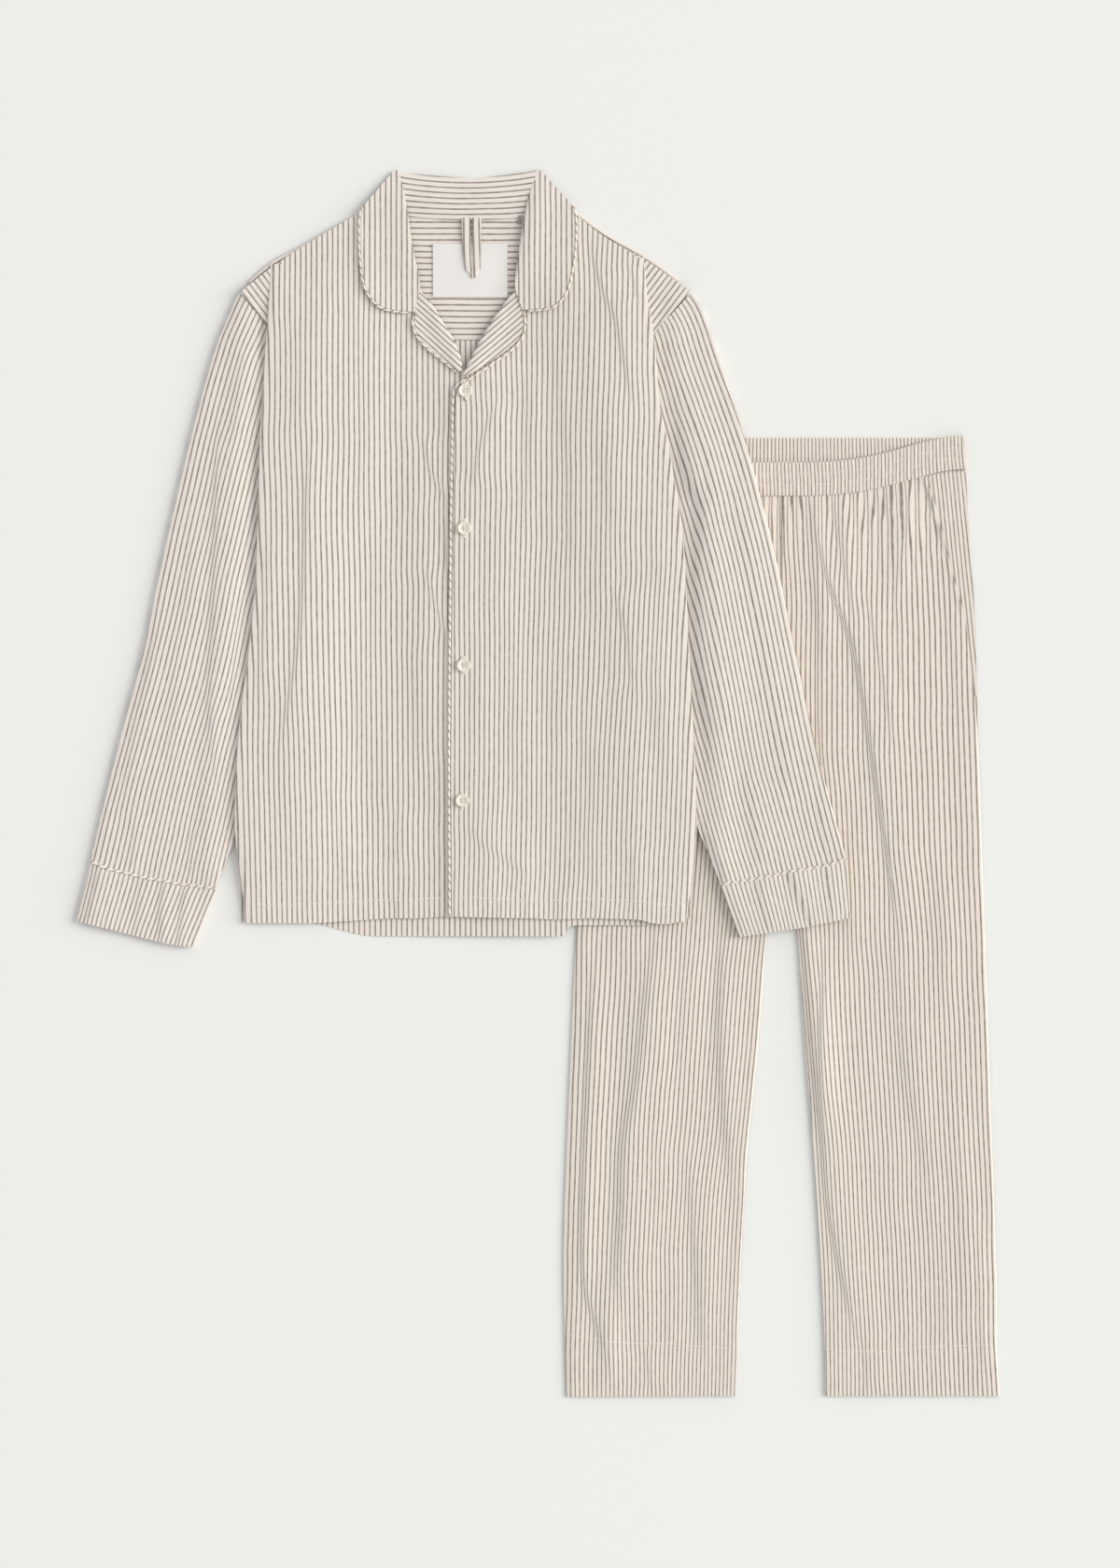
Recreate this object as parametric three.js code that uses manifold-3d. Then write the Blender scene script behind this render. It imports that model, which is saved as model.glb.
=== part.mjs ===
// A striped cotton pyjama set laid flat: a long-sleeved shirt with a piped notch collar, lying
// over the top left of a pair of trousers with an elastic waistband. Sizes are in millimetres.
// +X is to the right, +Y is towards the collar and +Z is up. Left and right are as seen from above.
// Places in the plane are given on the board that the set is laid out on: x from the board's
// left edge and y down from its top edge. The part's origin is under the middle of the set.
import * as THREE from "three";
import { mergeVertices } from "three/addons/utils/BufferGeometryUtils.js";
import Module from "manifold-3d";

const wasm = await Module();
wasm.setup();

const ORIGIN = { x: 576.7, y: 840.4 };

// Cloth and construction sizes
const CLOTH = 1.2; // one layer of poplin as a wall
const DOUBLE_CLOTH = 1.6; // collar, cuffs and facings, two layers sewn together
const SEAM_GAP = 0.3;
const PIPING_RADIUS = 1.3;
const PIPING_LIFT = 0.1;
const BAND_WALL = 1.8; // waistband, cloth on both sides of the elastic
const BAND_HEIGHT = 35.5;
const BAND_WAVES = 26; // ruffles of the elastic across the front
const BAND_RUFFLE = 0.7; // how far a ruffle stands out
const BAND_FLARE = 2.4; // how much wider the band is at its lower edge, at either end
const BAND_GAP = 0.8;
const BUTTON = {
  radius: 7.2, height: 2.6, rim: 2.2, dish: 0.9, bevel: 0.8, foot: 1, holeRadius: 0.8, holeSpread: 1.7,
};
const LABEL = { x: 463.7, y: 261, width: 80, height: 57, thickness: 0.7 };
// Its two strands part at the slit and narrow to the tip from the shoulder on.
const LOOP = {
  x: 505, top: 233.6, tip: 298, strand: 8, gap: 4, slit: 14, shoulder: 22, tipHalf: 3, thickness: 1.2,
};

// Heights above whatever the garment lies on
const LEG_UNDERSIDE = 3.3; // underside of a trouser front over the back
const LEG_EDGE_RADIUS = 7;
const CROTCH = { from: 800, over: 50 }; // the legs' inner edges turn down from here on
const GATHER = { height: 0.5, from: 510, length: 130 }; // gathers below the waistband
const TROUSER_PLATEAU = 5.9; // the shirt lies this high where it covers the trousers
const PLATEAU_RAMP = { beside: 250, above: 120 }; // the shirt comes down to the floor over this
const SLEEVE_OVER_BACK = 1.7;
const SLEEVE_HEIGHT = { tucked: 3.1, free: 6.2 };
const SLEEVE_RISE = 34; // width over which a sleeve rises from under the side fold
// A sleeve's pressed edge: its radius, and the shares of the height where the two walls meet
const SLEEVE_EDGE = { radius: 5, top: 0.42, bottom: 0.3, least: 0.2 };
const FRONT_UNDERSIDE = 3.0;
// How much higher a front lies over the tucked sleeve, and where that starts and ends
const SIDE_PILE = { height: 5.4, width: 46, slope: 110, top: 283, start: 42, foot: 880, end: 90 };
const PILE_AT_TOP = 0.25;
const PILE_AT_HEM = 0.38;
const TUCK_WIDTH = 28;
// The turn of a front's side begins inside the fold line and bulges out past it.
const SIDE_FOLD = { flat: 7, start: 2, bulge: CLOTH + 1 };
const OVERLAP = { lift: 2.6, edge: 548, width: 30, top: 376, start: 26 }; // right front over left
const LEAF_OVER_FRONT = 1.0;
const LEAF_AT_NECK = 2.6; // underside of a leaf behind the neck
const LEAF_ONTO_SHIRT = { from: 182, over: 46 };
const LEAF_ROLL = { radius: 4, drop: 1.6, end: 288, fade: 14 }; // rounded inner edge of a leaf
const LAPEL_OVER_FRONT = 1.0;
const LAPEL_ROLL_DROP = 0.5;
const COLLAR_BACK = {
  left: 426, width: 148, middle: 500, half: 73, top: 190.5, topRise: 5.5,
  seamMiddle: 503, seamHalf: 66, seam: 231.5, seamRise: 4, turnRadius: 1.4,
};
const SHOULDER_ROLL = { radius: 1.5, width: 4, inset: 0.6, from: 0.02, length: 0.9 };

// Outlines on the board, from top to bottom, each point [x, y]
const SIDE_FOLD_LEFT = [
  [290, 284], [288, 330], [283, 400], [279, 470], [277, 540], [274, 620],
  [267, 695], [258, 765], [253, 830], [252, 895], [254, 945], [256.5, 988],
];
const SIDE_FOLD_RIGHT = [
  [692, 281], [694, 318], [701, 365], [706, 430], [715, 473], [722.5, 517],
  [731, 571], [735, 640], [739, 720], [743, 800], [746, 880], [745, 940], [742, 987],
];
const FRONT_EDGE_LEFT = [
  [421, 221], [428, 245], [436, 280], [445, 309], [459, 331], [470, 348],
  [483, 368], [492, 388], [500, 402], [512, 425], [512, 600], [512, 985],
];
const FRONT_EDGE_RIGHT = [
  [579, 217], [570, 245], [562, 280], [556, 309], [543, 330], [530, 348],
  [520, 366], [511, 384], [503, 400], [493, 414], [488, 430], [486.6, 470],
  [485, 600], [483.7, 760], [483.5, 850], [484.2, 983],
];
const FRONT_HEAD_LEFT = [[421, 221], [388, 233.8], [341, 260.3], [309, 277.8], [297, 285]];
const FRONT_HEAD_RIGHT = [[579, 217], [611, 231], [646, 256], [672, 270.5], [685, 277]];
const FRONT_HEM_LEFT = [
  [512, 984], [481, 982], [444, 984], [419, 984], [355, 988], [329, 989], [263.5, 989],
];
const FRONT_HEM_RIGHT = [
  [484.2, 982], [521, 983], [572, 984], [597, 985], [627, 984], [683, 985],
  [701, 988.5], [718, 990], [735, 987.5],
];
const SHOULDER_LEFT = [
  [414, 212], [385, 227.5], [338, 254.5], [306, 272], [288.5, 282.5], [267, 301], [259.5, 310],
];
const SHOULDER_RIGHT = [
  [586, 206], [614.5, 225], [650, 250], [687, 271], [711, 287], [726, 299], [735, 307.5],
];
// Neck edge of the yoke, from the left shoulder to the right one
const NECK_EDGE = [
  [414, 214], [422, 214], [425, 224], [436, 230], [447, 232],
  [505, 233], [553, 232], [564, 230], [575, 224], [578, 214], [586, 209],
];
const ARMHOLE_CORNER = { left: [287, 346], right: [702, 352] };
const SLEEVE_HEAD_LEFT = [[256.5, 313.5], [270.5, 330], [285.5, 349.5], [326, 434]];
const SLEEVE_HEAD_RIGHT = [[740.5, 314], [720.5, 335.5], [702, 358], [664.5, 442]];
// The part of a front past the start of its side fold: hidden side, top, and armhole seam
const CORNER_LEFT = {
  first: [[302, 282.5], [304, 320], [306, 372]],
  second: [[259.5, 312.5], [272.5, 327.5], [287, 346.5], [300, 374]],
  head: [[302, 282.5], [292, 288], [281, 297], [270.5, 306], [259.5, 312.5]],
};
const CORNER_RIGHT = {
  first: [[679, 273.5], [678, 320], [676, 378]],
  second: [[736, 311.5], [718.5, 332], [700.5, 354.5], [688, 380]],
  head: [[679, 273.5], [691, 281.5], [707, 292], [722, 303.5], [736, 311.5]],
};
const SLEEVE_OUTER_LEFT = [
  [256.5, 313.5], [244.6, 340], [229, 380], [207, 460], [188, 540], [170, 620],
  [153.5, 700], [132, 780], [112, 860], [98, 921],
];
const SLEEVE_INNER_LEFT = [
  [325.5, 433], [318, 500], [303, 600], [290, 700], [273, 790], [253, 889], [241, 925], [231.5, 949],
];
const SLEEVE_OUTER_RIGHT = [
  [740.5, 314], [752, 333], [768, 380], [794, 460], [818.5, 548], [834, 613],
  [851.5, 698], [869, 780], [889, 860], [905.5, 920],
];
const SLEEVE_INNER_RIGHT = [
  [664.5, 441], [676, 500], [703, 600], [716, 700], [728, 790], [746, 880], [755, 905], [771, 945],
];
// A cuff has its piped seam and its lower edge, both from the outer side to the inner one.
const CUFF_LEFT = {
  seam: [[97.5, 923.5], [114, 930.5], [135, 935.5], [154, 940.5], [175, 944], [199, 948], [230.5, 951.5]],
  edge: [[82, 987], [114, 995], [146, 1003], [178, 1011], [206, 1015]],
};
const CUFF_RIGHT = {
  seam: [[906, 920], [888, 926], [873, 929.5], [844, 934], [817, 940], [800, 943], [772, 947.5]],
  edge: [[911, 983], [884, 989], [859, 994], [826, 999], [792, 1004]],
};
const CUFF_SEAM_GAP = 2.3; // the piping lies between the sleeve and the cuff
const LEG_OUTER_LEFT = [
  [643, 505], [640, 600], [635, 740], [627, 880], [617.5, 1005], [612, 1120],
  [607, 1240], [604, 1340], [605, 1420], [607, 1497],
];
const LEG_INNER_LEFT = [
  [837.6, 532], [837.4, 700], [836.5, 805], [829, 895], [820.5, 1005],
  [812, 1120], [800, 1240], [794, 1340], [790, 1430], [787.5, 1496],
];
const LEG_OUTER_RIGHT = [
  [1035, 505], [1039, 580], [1044.5, 660], [1048, 790], [1053, 940],
  [1058.5, 1100], [1064, 1260], [1068, 1380], [1068, 1440], [1071, 1496],
];
const LEG_INNER_RIGHT = [
  [838.4, 532], [838.6, 700], [839.5, 805], [846, 900], [855.5, 1005],
  [863, 1120], [872.5, 1240], [879, 1340], [883.5, 1430], [885, 1496],
];
const POCKET_EDGE = [
  [990, 512], [1003, 548], [1012, 582], [1021, 617], [1034, 664], [1042, 730],
  [1047.6, 790],
];
const POCKET_END = 745; // lower end of the facing behind the pocket mouth
const FACING_CLEARANCE = 6;
const MOUTH_END = 790; // below this the front's edge lies at the side seam

// The largest folds of the trouser fronts: top x and y, length, drift in x, half width, height
const LEG_FOLDS = [
  { x: 868, y: 520, length: 190, drift: 22, halfWidth: 11, height: 1.3 },
  { x: 905, y: 520, length: 120, drift: 4, halfWidth: 11, height: 0.9 },
  { x: 968, y: 505, length: 150, drift: -10, halfWidth: 12, height: 1.4 },
  { x: 868, y: 960, length: 330, drift: 20, halfWidth: 13, height: 1.2 },
  { x: 1030, y: 1180, length: 300, drift: 16, halfWidth: 14, height: 1.0 },
  { x: 690, y: 960, length: 260, drift: -14, halfWidth: 14, height: 1.3 },
  { x: 650, y: 1330, length: 165, drift: 6, halfWidth: 13, height: 1.3 },
];
// The largest folds of the shirt fronts, in the same columns
const FRONT_FOLDS = [
  { x: 452, y: 430, length: 420, drift: 12, halfWidth: 22, height: 1.2 },
  { x: 652, y: 290, length: 260, drift: 6, halfWidth: 20, height: 1.0 },
  { x: 600, y: 600, length: 380, drift: 14, halfWidth: 26, height: 1.0 },
  { x: 350, y: 620, length: 360, drift: -16, halfWidth: 26, height: 1.0 },
];

const BUTTONS = [
  { x: 498.4, y: 418.5 },
  { x: 497.5, y: 566 },
  { x: 496.9, y: 713 },
  { x: 495.5, y: 857.6 },
];

const COLOURS = {
  shirtCloth: 0xd9cec4,
  trouserCloth: 0xd8ccbf,
  piping: 0xe6dccf,
  shell: 0xf0e8da,
  label: 0xebe7e3,
};

// Soft step from 0 to 1.
function ease(t) {
  const c = THREE.MathUtils.clamp(t, 0, 1);
  return c * c * (3 - 2 * c);
}

// Rise of a rounded edge: 0 at the edge, 1 from the radius inwards.
function roundEdge(distance, radius) {
  const q = THREE.MathUtils.clamp(distance / radius, 0, 1);
  return Math.sqrt(1 - (1 - q) ** 2);
}

// A board point and a height as a point of the part.
function place(x, y, z) {
  return new THREE.Vector3(x - ORIGIN.x, ORIGIN.y - y, z);
}

// A smooth curve through board points, called with the share of its length.
function boardCurve(points) {
  const curve = new THREE.SplineCurve(points.map(([x, y]) => new THREE.Vector2(x, y)));
  return (share) => curve.getPointAt(THREE.MathUtils.clamp(share, 0, 1));
}

// The x of an outline at a given y, straight between its points.
function xAt(points, y) {
  const i = THREE.MathUtils.clamp(points.findIndex((p) => p[1] > y), 1, points.length - 1);
  const [a, b] = [points[i - 1], points[i]];
  const share = THREE.MathUtils.clamp((y - a[1]) / (b[1] - a[1]), 0, 1);
  return a[0] + (b[0] - a[0]) * share;
}

// A flat outline on the board as a shape of the part.
function boardShape(points) {
  return new THREE.Shape(points.map(([x, y]) => new THREE.Vector2(x - ORIGIN.x, ORIGIN.y - y)));
}

const evenly = (count) => Array.from({ length: count + 1 }, (_, i) => i / count);
const ascending = (p, q) => p - q;

// Section of a half turn of cloth, from its lower to its upper layer: distance in from the fold
// and height.
function halfTurn(radius) {
  return evenly(4).map((share) => {
    const angle = Math.PI * (share - 0.5);
    return { d: radius * (1 - Math.cos(angle)), z: radius * (Math.sin(angle) + 1) };
  });
}

// Height that a table of folds adds at a board point.
function foldHeight(folds, x, y) {
  return folds.reduce((sum, fold) => {
    const along = (y - fold.y) / fold.length;
    if (along <= 0 || along >= 1) return sum;
    const off = (x - fold.x - fold.drift * along) / fold.halfWidth;
    return sum + fold.height * Math.sin(Math.PI * along) * Math.exp(-off * off);
  }, 0);
}

// Top edge of the front waistband, lowest at the middle of the trousers.
const TROUSERS_MIDDLE = 838;
const WAIST_HALF = 195;
const BACK_BAND_TOP = 469;
const FRONT_BAND = { top: 495.5, rise: 28.5, power: 1.55 };
function bandTop(x) {
  const q = Math.min(Math.abs(x - TROUSERS_MIDDLE) / WAIST_HALF, 1);
  return FRONT_BAND.top - FRONT_BAND.rise * Math.sin((Math.PI / 2) * q ** FRONT_BAND.power) ** 2;
}

// Height of what the shirt lies on: the floor, or the trousers with a slope down beside them.
function groundUnderShirt(x, y) {
  const beside = Math.max(xAt(LEG_OUTER_LEFT, y) - x, 0);
  const above = Math.max(BACK_BAND_TOP - y, 0);
  return TROUSER_PLATEAU * ease(1 - beside / PLATEAU_RAMP.beside) * ease(1 - above / PLATEAU_RAMP.above);
}

// Distance inside the nearer side fold of the shirt, negative outside it.
function insideSides(x, y) {
  return Math.min(x - xAt(SIDE_FOLD_LEFT, y), xAt(SIDE_FOLD_RIGHT, y) - x);
}

// Underside of a shirt front above the ground: it lies higher over the tucked sleeve.
function frontUnderside(x, y) {
  const { height, width, slope, top, start, foot, end } = SIDE_PILE;
  const started = THREE.MathUtils.lerp(PILE_AT_TOP, 1, ease((y - top) / start));
  const ended = THREE.MathUtils.lerp(1, PILE_AT_HEM, ease((y - foot) / end));
  const nearSide = ease(1 - (insideSides(x, y) - width) / slope);
  const pile = height * started * ended * nearSide;
  return groundUnderShirt(x, y) + FRONT_UNDERSIDE + pile + foldHeight(FRONT_FOLDS, x, y);
}

// The right front lies over the left one along the button line.
function rightFrontUnderside(x, y) {
  const { lift, edge, width, top, start } = OVERLAP;
  return frontUnderside(x, y) + lift * ease((edge - x) / width) * ease((y - top) / start);
}

function sleeveUnderside(x, y) {
  const overBack = ease(1.25 + insideSides(x, y) / 40);
  return groundUnderShirt(x, y) + SLEEVE_OVER_BACK * overBack;
}

function sleeveHeight(x, y) {
  const free = ease(-insideSides(x, y) / SLEEVE_RISE);
  return SLEEVE_HEIGHT.tucked + (SLEEVE_HEIGHT.free - SLEEVE_HEIGHT.tucked) * free;
}

// A closed geometry from indexed triangles, turned so that its faces point out.
function closedGeometry(points, triangles) {
  const volume = triangles.reduce((sum, [a, b, c]) => {
    return sum + points[a].dot(points[b].clone().cross(points[c])) / 6;
  }, 0);
  const turned = volume < 0 ? triangles.map(([a, b, c]) => [a, c, b]) : triangles;
  const geometry = new THREE.BufferGeometry().setFromPoints(points);
  geometry.setIndex(turned.flat());
  return geometry;
}

// Two triangles of a four-sided face.
const quad = (a, b, c, d) => [[a, b, c], [a, c, d]];

// A wall of cloth: a grid of middle points, thickened both ways along the surface's normal.
function wall(grid, thickness) {
  const rows = grid.length;
  const columns = grid[0].length;
  const near = (list, i) => list[THREE.MathUtils.clamp(i, 0, list.length - 1)];
  const normals = grid.map((row, j) =>
    row.map((_, i) => {
      const across = near(row, i + 1).clone().sub(near(row, i - 1));
      const along = near(grid, j + 1)[i].clone().sub(near(grid, j - 1)[i]);
      return across.cross(along).normalize();
    }),
  );
  const side = (sign) =>
    grid.flatMap((row, j) =>
      row.map((p, i) => p.clone().addScaledVector(normals[j][i], (sign * thickness) / 2)),
    );
  const points = [...side(1), ...side(-1)];
  const top = (j, i) => j * columns + i;
  const under = (j, i) => rows * columns + top(j, i);
  const triangles = [];
  for (let j = 0; j + 1 < rows; j++) {
    for (let i = 0; i + 1 < columns; i++) {
      triangles.push(...quad(top(j, i), top(j, i + 1), top(j + 1, i + 1), top(j + 1, i)));
      triangles.push(...quad(under(j, i), under(j + 1, i), under(j + 1, i + 1), under(j, i + 1)));
    }
    const last = columns - 1;
    triangles.push(...quad(top(j, 0), top(j + 1, 0), under(j + 1, 0), under(j, 0)));
    triangles.push(...quad(top(j, last), under(j, last), under(j + 1, last), top(j + 1, last)));
  }
  for (let i = 0; i + 1 < columns; i++) {
    const last = rows - 1;
    triangles.push(...quad(top(0, i), under(0, i), under(0, i + 1), top(0, i + 1)));
    triangles.push(...quad(top(last, i), top(last, i + 1), under(last, i + 1), under(last, i)));
  }
  return closedGeometry(points, triangles);
}

// A tube wall, open at both ends, from matching outer and inner loops of points.
function tubeWall(outer, inner) {
  const count = outer[0].length;
  const points = [...outer.flat(), ...inner.flat()];
  const out = (j, i) => j * count + (i % count);
  const inside = (j, i) => outer.length * count + out(j, i);
  const triangles = [];
  for (let j = 0; j + 1 < outer.length; j++) {
    for (let i = 0; i < count; i++) {
      triangles.push(...quad(out(j, i), out(j, i + 1), out(j + 1, i + 1), out(j + 1, i)));
      triangles.push(
        ...quad(inside(j, i), inside(j + 1, i), inside(j + 1, i + 1), inside(j, i + 1)),
      );
    }
  }
  for (let i = 0; i < count; i++) {
    const last = outer.length - 1;
    triangles.push(...quad(out(0, i), inside(0, i), inside(0, i + 1), out(0, i + 1)));
    triangles.push(...quad(out(last, i), out(last, i + 1), inside(last, i + 1), inside(last, i)));
  }
  return closedGeometry(points, triangles);
}

// Direction square to the plane of a closed path.
function loopNormal(path) {
  const normal = new THREE.Vector3();
  path.forEach((p, j) => normal.add(p.clone().cross(path[(j + 1) % path.length])));
  return normal.normalize();
}

// A round cord of cloth along a path, with flat ends or closed on itself.
function cordAlong(path, radius, closed = false) {
  const sides = 6;
  const count = path.length;
  const axis = closed ? loopNormal(path) : new THREE.Vector3(0, 0, 1);
  const at = (j) =>
    closed ? path[(j + count) % count] : path[THREE.MathUtils.clamp(j, 0, count - 1)];
  const points = path.flatMap((centre, j) => {
    const forward = at(j + 1).clone().sub(at(j - 1)).normalize();
    const sideways = axis.clone().cross(forward).normalize();
    const upward = forward.clone().cross(sideways);
    return evenly(sides).slice(1).map((share) => {
      const angle = 2 * Math.PI * share;
      return centre
        .clone()
        .addScaledVector(sideways, radius * Math.cos(angle))
        .addScaledVector(upward, radius * Math.sin(angle));
    });
  });
  const index = (j, i) => (j % count) * sides + (i % sides);
  const triangles = [];
  for (let j = 0; j < (closed ? count : count - 1); j++)
    for (let i = 0; i < sides; i++)
      triangles.push(...quad(index(j, i), index(j, i + 1), index(j + 1, i + 1), index(j + 1, i)));
  if (!closed)
    for (let i = 1; i + 1 < sides; i++) {
      triangles.push([index(0, 0), index(0, i + 1), index(0, i)]);
      triangles.push([index(count - 1, 0), index(count - 1, i), index(count - 1, i + 1)]);
    }
  return closedGeometry(points, triangles);
}

// A geometry as a solid that can be joined and cut.
function solid(geometry) {
  const bare = geometry.index ? geometry.toNonIndexed() : geometry.clone();
  const positions = new THREE.BufferGeometry();
  positions.setAttribute("position", bare.getAttribute("position"));
  const merged = mergeVertices(positions, 1e-4);
  return new wasm.Manifold(
    new wasm.Mesh({
      numProp: 3,
      vertProperties: new Float32Array(merged.attributes.position.array),
      triVerts: new Uint32Array(merged.index.array),
    }),
  );
}

function geometryOf(shape) {
  const mesh = shape.getMesh();
  const geometry = new THREE.BufferGeometry();
  geometry.setAttribute("position", new THREE.BufferAttribute(mesh.vertProperties, 3));
  geometry.setIndex(new THREE.BufferAttribute(mesh.triVerts, 1));
  return geometry;
}

const joined = (...geometries) => geometryOf(wasm.Manifold.union(geometries.map(solid)));

// A panel between two side outlines, called with its shares down and across. Where it has a
// head or a foot line, the rows near it bend to follow that line.
function boardPanel({ first, second, head, foot, reach = 0.16 }) {
  const [a, b] = [boardCurve(first), boardCurve(second)];
  const straight = (v, u) => a(v).lerp(b(v), u);
  const lines = [{ points: head, end: 0 }, { points: foot, end: 1 }].filter(({ points }) => points);
  const ends = lines.map(({ points, end }) => ({ line: boardCurve(points), end }));
  return (v, u) =>
    ends.reduce((point, { line, end }) => {
      const share = 1 - ease(Math.abs(v - end) / reach);
      return point.add(line(u).sub(straight(end, u)).multiplyScalar(share));
    }, straight(v, u));
}

// Board points of a panel: a row for each share down, a column for each share across.
function plan(outlines, down, across) {
  const at = boardPanel(outlines);
  return down.map((v) => across.map((u) => at(v, u)));
}

// A grid of board points as the middle surface of a wall whose underside has the given height.
function raised(points, underside, thickness) {
  return points.map((row) =>
    row.map((p) => place(p.x, p.y, underside(p.x, p.y) + thickness / 2)),
  );
}

// A shirt front. At its side the cloth turns under and lies between the front and the sleeve.
const SIDE_TURN = evenly(4).map((share) => {
  const angle = Math.PI * (0.5 - share);
  const d = SIDE_FOLD.start - SIDE_FOLD.bulge * Math.cos(angle);
  return { d, z: CLOTH * (Math.sin(angle) - 1) };
});
const SIDE_SECTION = [...SIDE_TURN, { d: TUCK_WIDTH, z: -2 * CLOTH }];

function frontPanel(outlines, underside, inward) {
  const at = boardPanel(outlines);
  const grid = evenly(17).map((v) => {
    const fold = at(v, 1);
    const flat = evenly(11).map((u) => {
      const p = at(v, u);
      p.x += inward * SIDE_FOLD.flat * u ** 3;
      return place(p.x, p.y, underside(p.x, p.y) + CLOTH / 2);
    });
    const turned = SIDE_SECTION.map(({ d, z }) => {
      const near = fold.x + inward * Math.max(d, SIDE_FOLD.start);
      const level = underside(near, fold.y) + CLOTH / 2;
      return place(fold.x + inward * d, fold.y, level + z);
    });
    return [...flat, ...turned];
  });
  return wall(grid, CLOTH);
}

// The part of a front that runs out to the armhole seam, past the start of the side fold. It
// goes under the front further down, and drops towards the seam.
function shoulderCorner(outlines, underside) {
  const across = evenly(6);
  const rowsToUnder = 2.4;
  const seamDrop = 1.4;
  const dropFrom = 0.285; // share of the width
  const grid = plan(outlines, evenly(5), across).map((row, j) =>
    row.map((p, i) => {
      const under = 2 * CLOTH * ease(j / rowsToUnder);
      const outward = seamDrop * ease((across[i] - dropFrom) / (1 - dropFrom));
      return place(p.x, p.y, underside(p.x, p.y) + CLOTH / 2 - under - outward);
    }),
  );
  return wall(grid, CLOTH);
}

const FRONTS = {
  left: {
    first: FRONT_EDGE_LEFT,
    second: SIDE_FOLD_LEFT,
    head: FRONT_HEAD_LEFT,
    foot: FRONT_HEM_LEFT,
    corner: CORNER_LEFT,
    underside: frontUnderside,
    inward: 1,
  },
  right: {
    first: FRONT_EDGE_RIGHT,
    second: SIDE_FOLD_RIGHT,
    head: FRONT_HEAD_RIGHT,
    foot: FRONT_HEM_RIGHT,
    corner: CORNER_RIGHT,
    underside: rightFrontUnderside,
    inward: -1,
  },
};

function shirtFront(side) {
  const front = FRONTS[side];
  const panel = frontPanel(front, front.underside, front.inward);
  return joined(panel, shoulderCorner(front.corner, front.underside));
}

// Back of the shirt below the yoke; its hem hangs lower than the fronts' hem. Each step of the
// hem starts at an x, takes a width, and makes the hem so much lower.
const BACK_HEM_LEFT = 987;
const HEM_STEPS = [
  { x: 315, width: 90, lower: 16 },
  { x: 604, width: 8, lower: -12 },
  { x: 690, width: 40, lower: -8 },
];
function backHem(x) {
  return HEM_STEPS.reduce((y, step) => y + step.lower * ease((x - step.x) / step.width), BACK_HEM_LEFT);
}

const YOKE_SEAM = 364;
const BACK_FOOT = 980; // level foot of the rows, before they bend to the hem
const BACK_INSET = 3; // the back ends this far inside the side folds

function shirtBack() {
  const across = [...evenly(8).slice(0, 5), ...evenly(20).slice(11), 0.02, 0.98].sort(ascending);
  const down = [0, 0.045, 0.09, 0.135, 0.18, 0.24, ...evenly(10).slice(3, -1), 0.975, 1];
  const grid = down.map((v) =>
    across.map((u) => {
      const straight = YOKE_SEAM + SEAM_GAP + v * (BACK_FOOT - YOKE_SEAM);
      const left = xAt(SIDE_FOLD_LEFT, straight) + BACK_INSET;
      const right = xAt(SIDE_FOLD_RIGHT, straight) - BACK_INSET;
      const x = left + u * (right - left);
      const y = straight + ease(2 * v - 1) * (backHem(x) - BACK_FOOT);
      return place(x, y, groundUnderShirt(x, y) + CLOTH / 2);
    }),
  );
  return wall(grid, CLOTH);
}

// The strip of the yoke that rolls over the shoulder to the seam of the front.
function shoulderRoll(shoulder) {
  const line = boardCurve(shoulder);
  const { radius, width, inset, from, length } = SHOULDER_ROLL;
  const middle = new THREE.Vector2(500, 520);
  const step = 0.02;
  const section = [{ d: 2 * width, z: 0 }, ...halfTurn(radius), { d: width, z: 2 * radius }];
  const grid = evenly(8).map((share) => {
    const along = from + length * share;
    const p = line(along);
    const ahead = line(along + step).sub(line(along - step));
    const inward = new THREE.Vector2(-ahead.y, ahead.x).normalize();
    if (inward.dot(middle.clone().sub(p)) < 0) inward.negate();
    return section.map(({ d, z }) =>
      place(p.x + inward.x * (d + inset), p.y + inward.y * (d + inset), z + CLOTH / 2),
    );
  });
  return wall(grid, CLOTH);
}

function yoke() {
  const inset = { x: 2.5, y: 3, side: 2 };
  const outline = [
    ...SHOULDER_LEFT.slice(1).reverse().map(([x, y]) => [x + inset.x, y + inset.y]),
    ...NECK_EDGE,
    ...SHOULDER_RIGHT.slice(1).map(([x, y]) => [x - inset.x, y + inset.y]),
    ARMHOLE_CORNER.right,
    [xAt(SIDE_FOLD_RIGHT, YOKE_SEAM) - inset.side, YOKE_SEAM],
    [xAt(SIDE_FOLD_LEFT, YOKE_SEAM) + inset.side, YOKE_SEAM],
    ARMHOLE_CORNER.left,
  ];
  const plate = new THREE.ExtrudeGeometry(boardShape(outline), { depth: CLOTH, bevelEnabled: false });
  return joined(plate, shoulderRoll(SHOULDER_LEFT), shoulderRoll(SHOULDER_RIGHT));
}

// A flattened tube of cloth, such as a sleeve: flat below, rounded at both sides, soft on top.
const TUBE_TOP = [0, 0.012, 0.045, 0.12, 0.25, 0.4, 0.55, 0.7, 0.84, 0.93, 0.982, 1];
const TUBE_BOTTOM = TUBE_TOP.filter((_, i) => i % 2 === 1).reverse();

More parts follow.
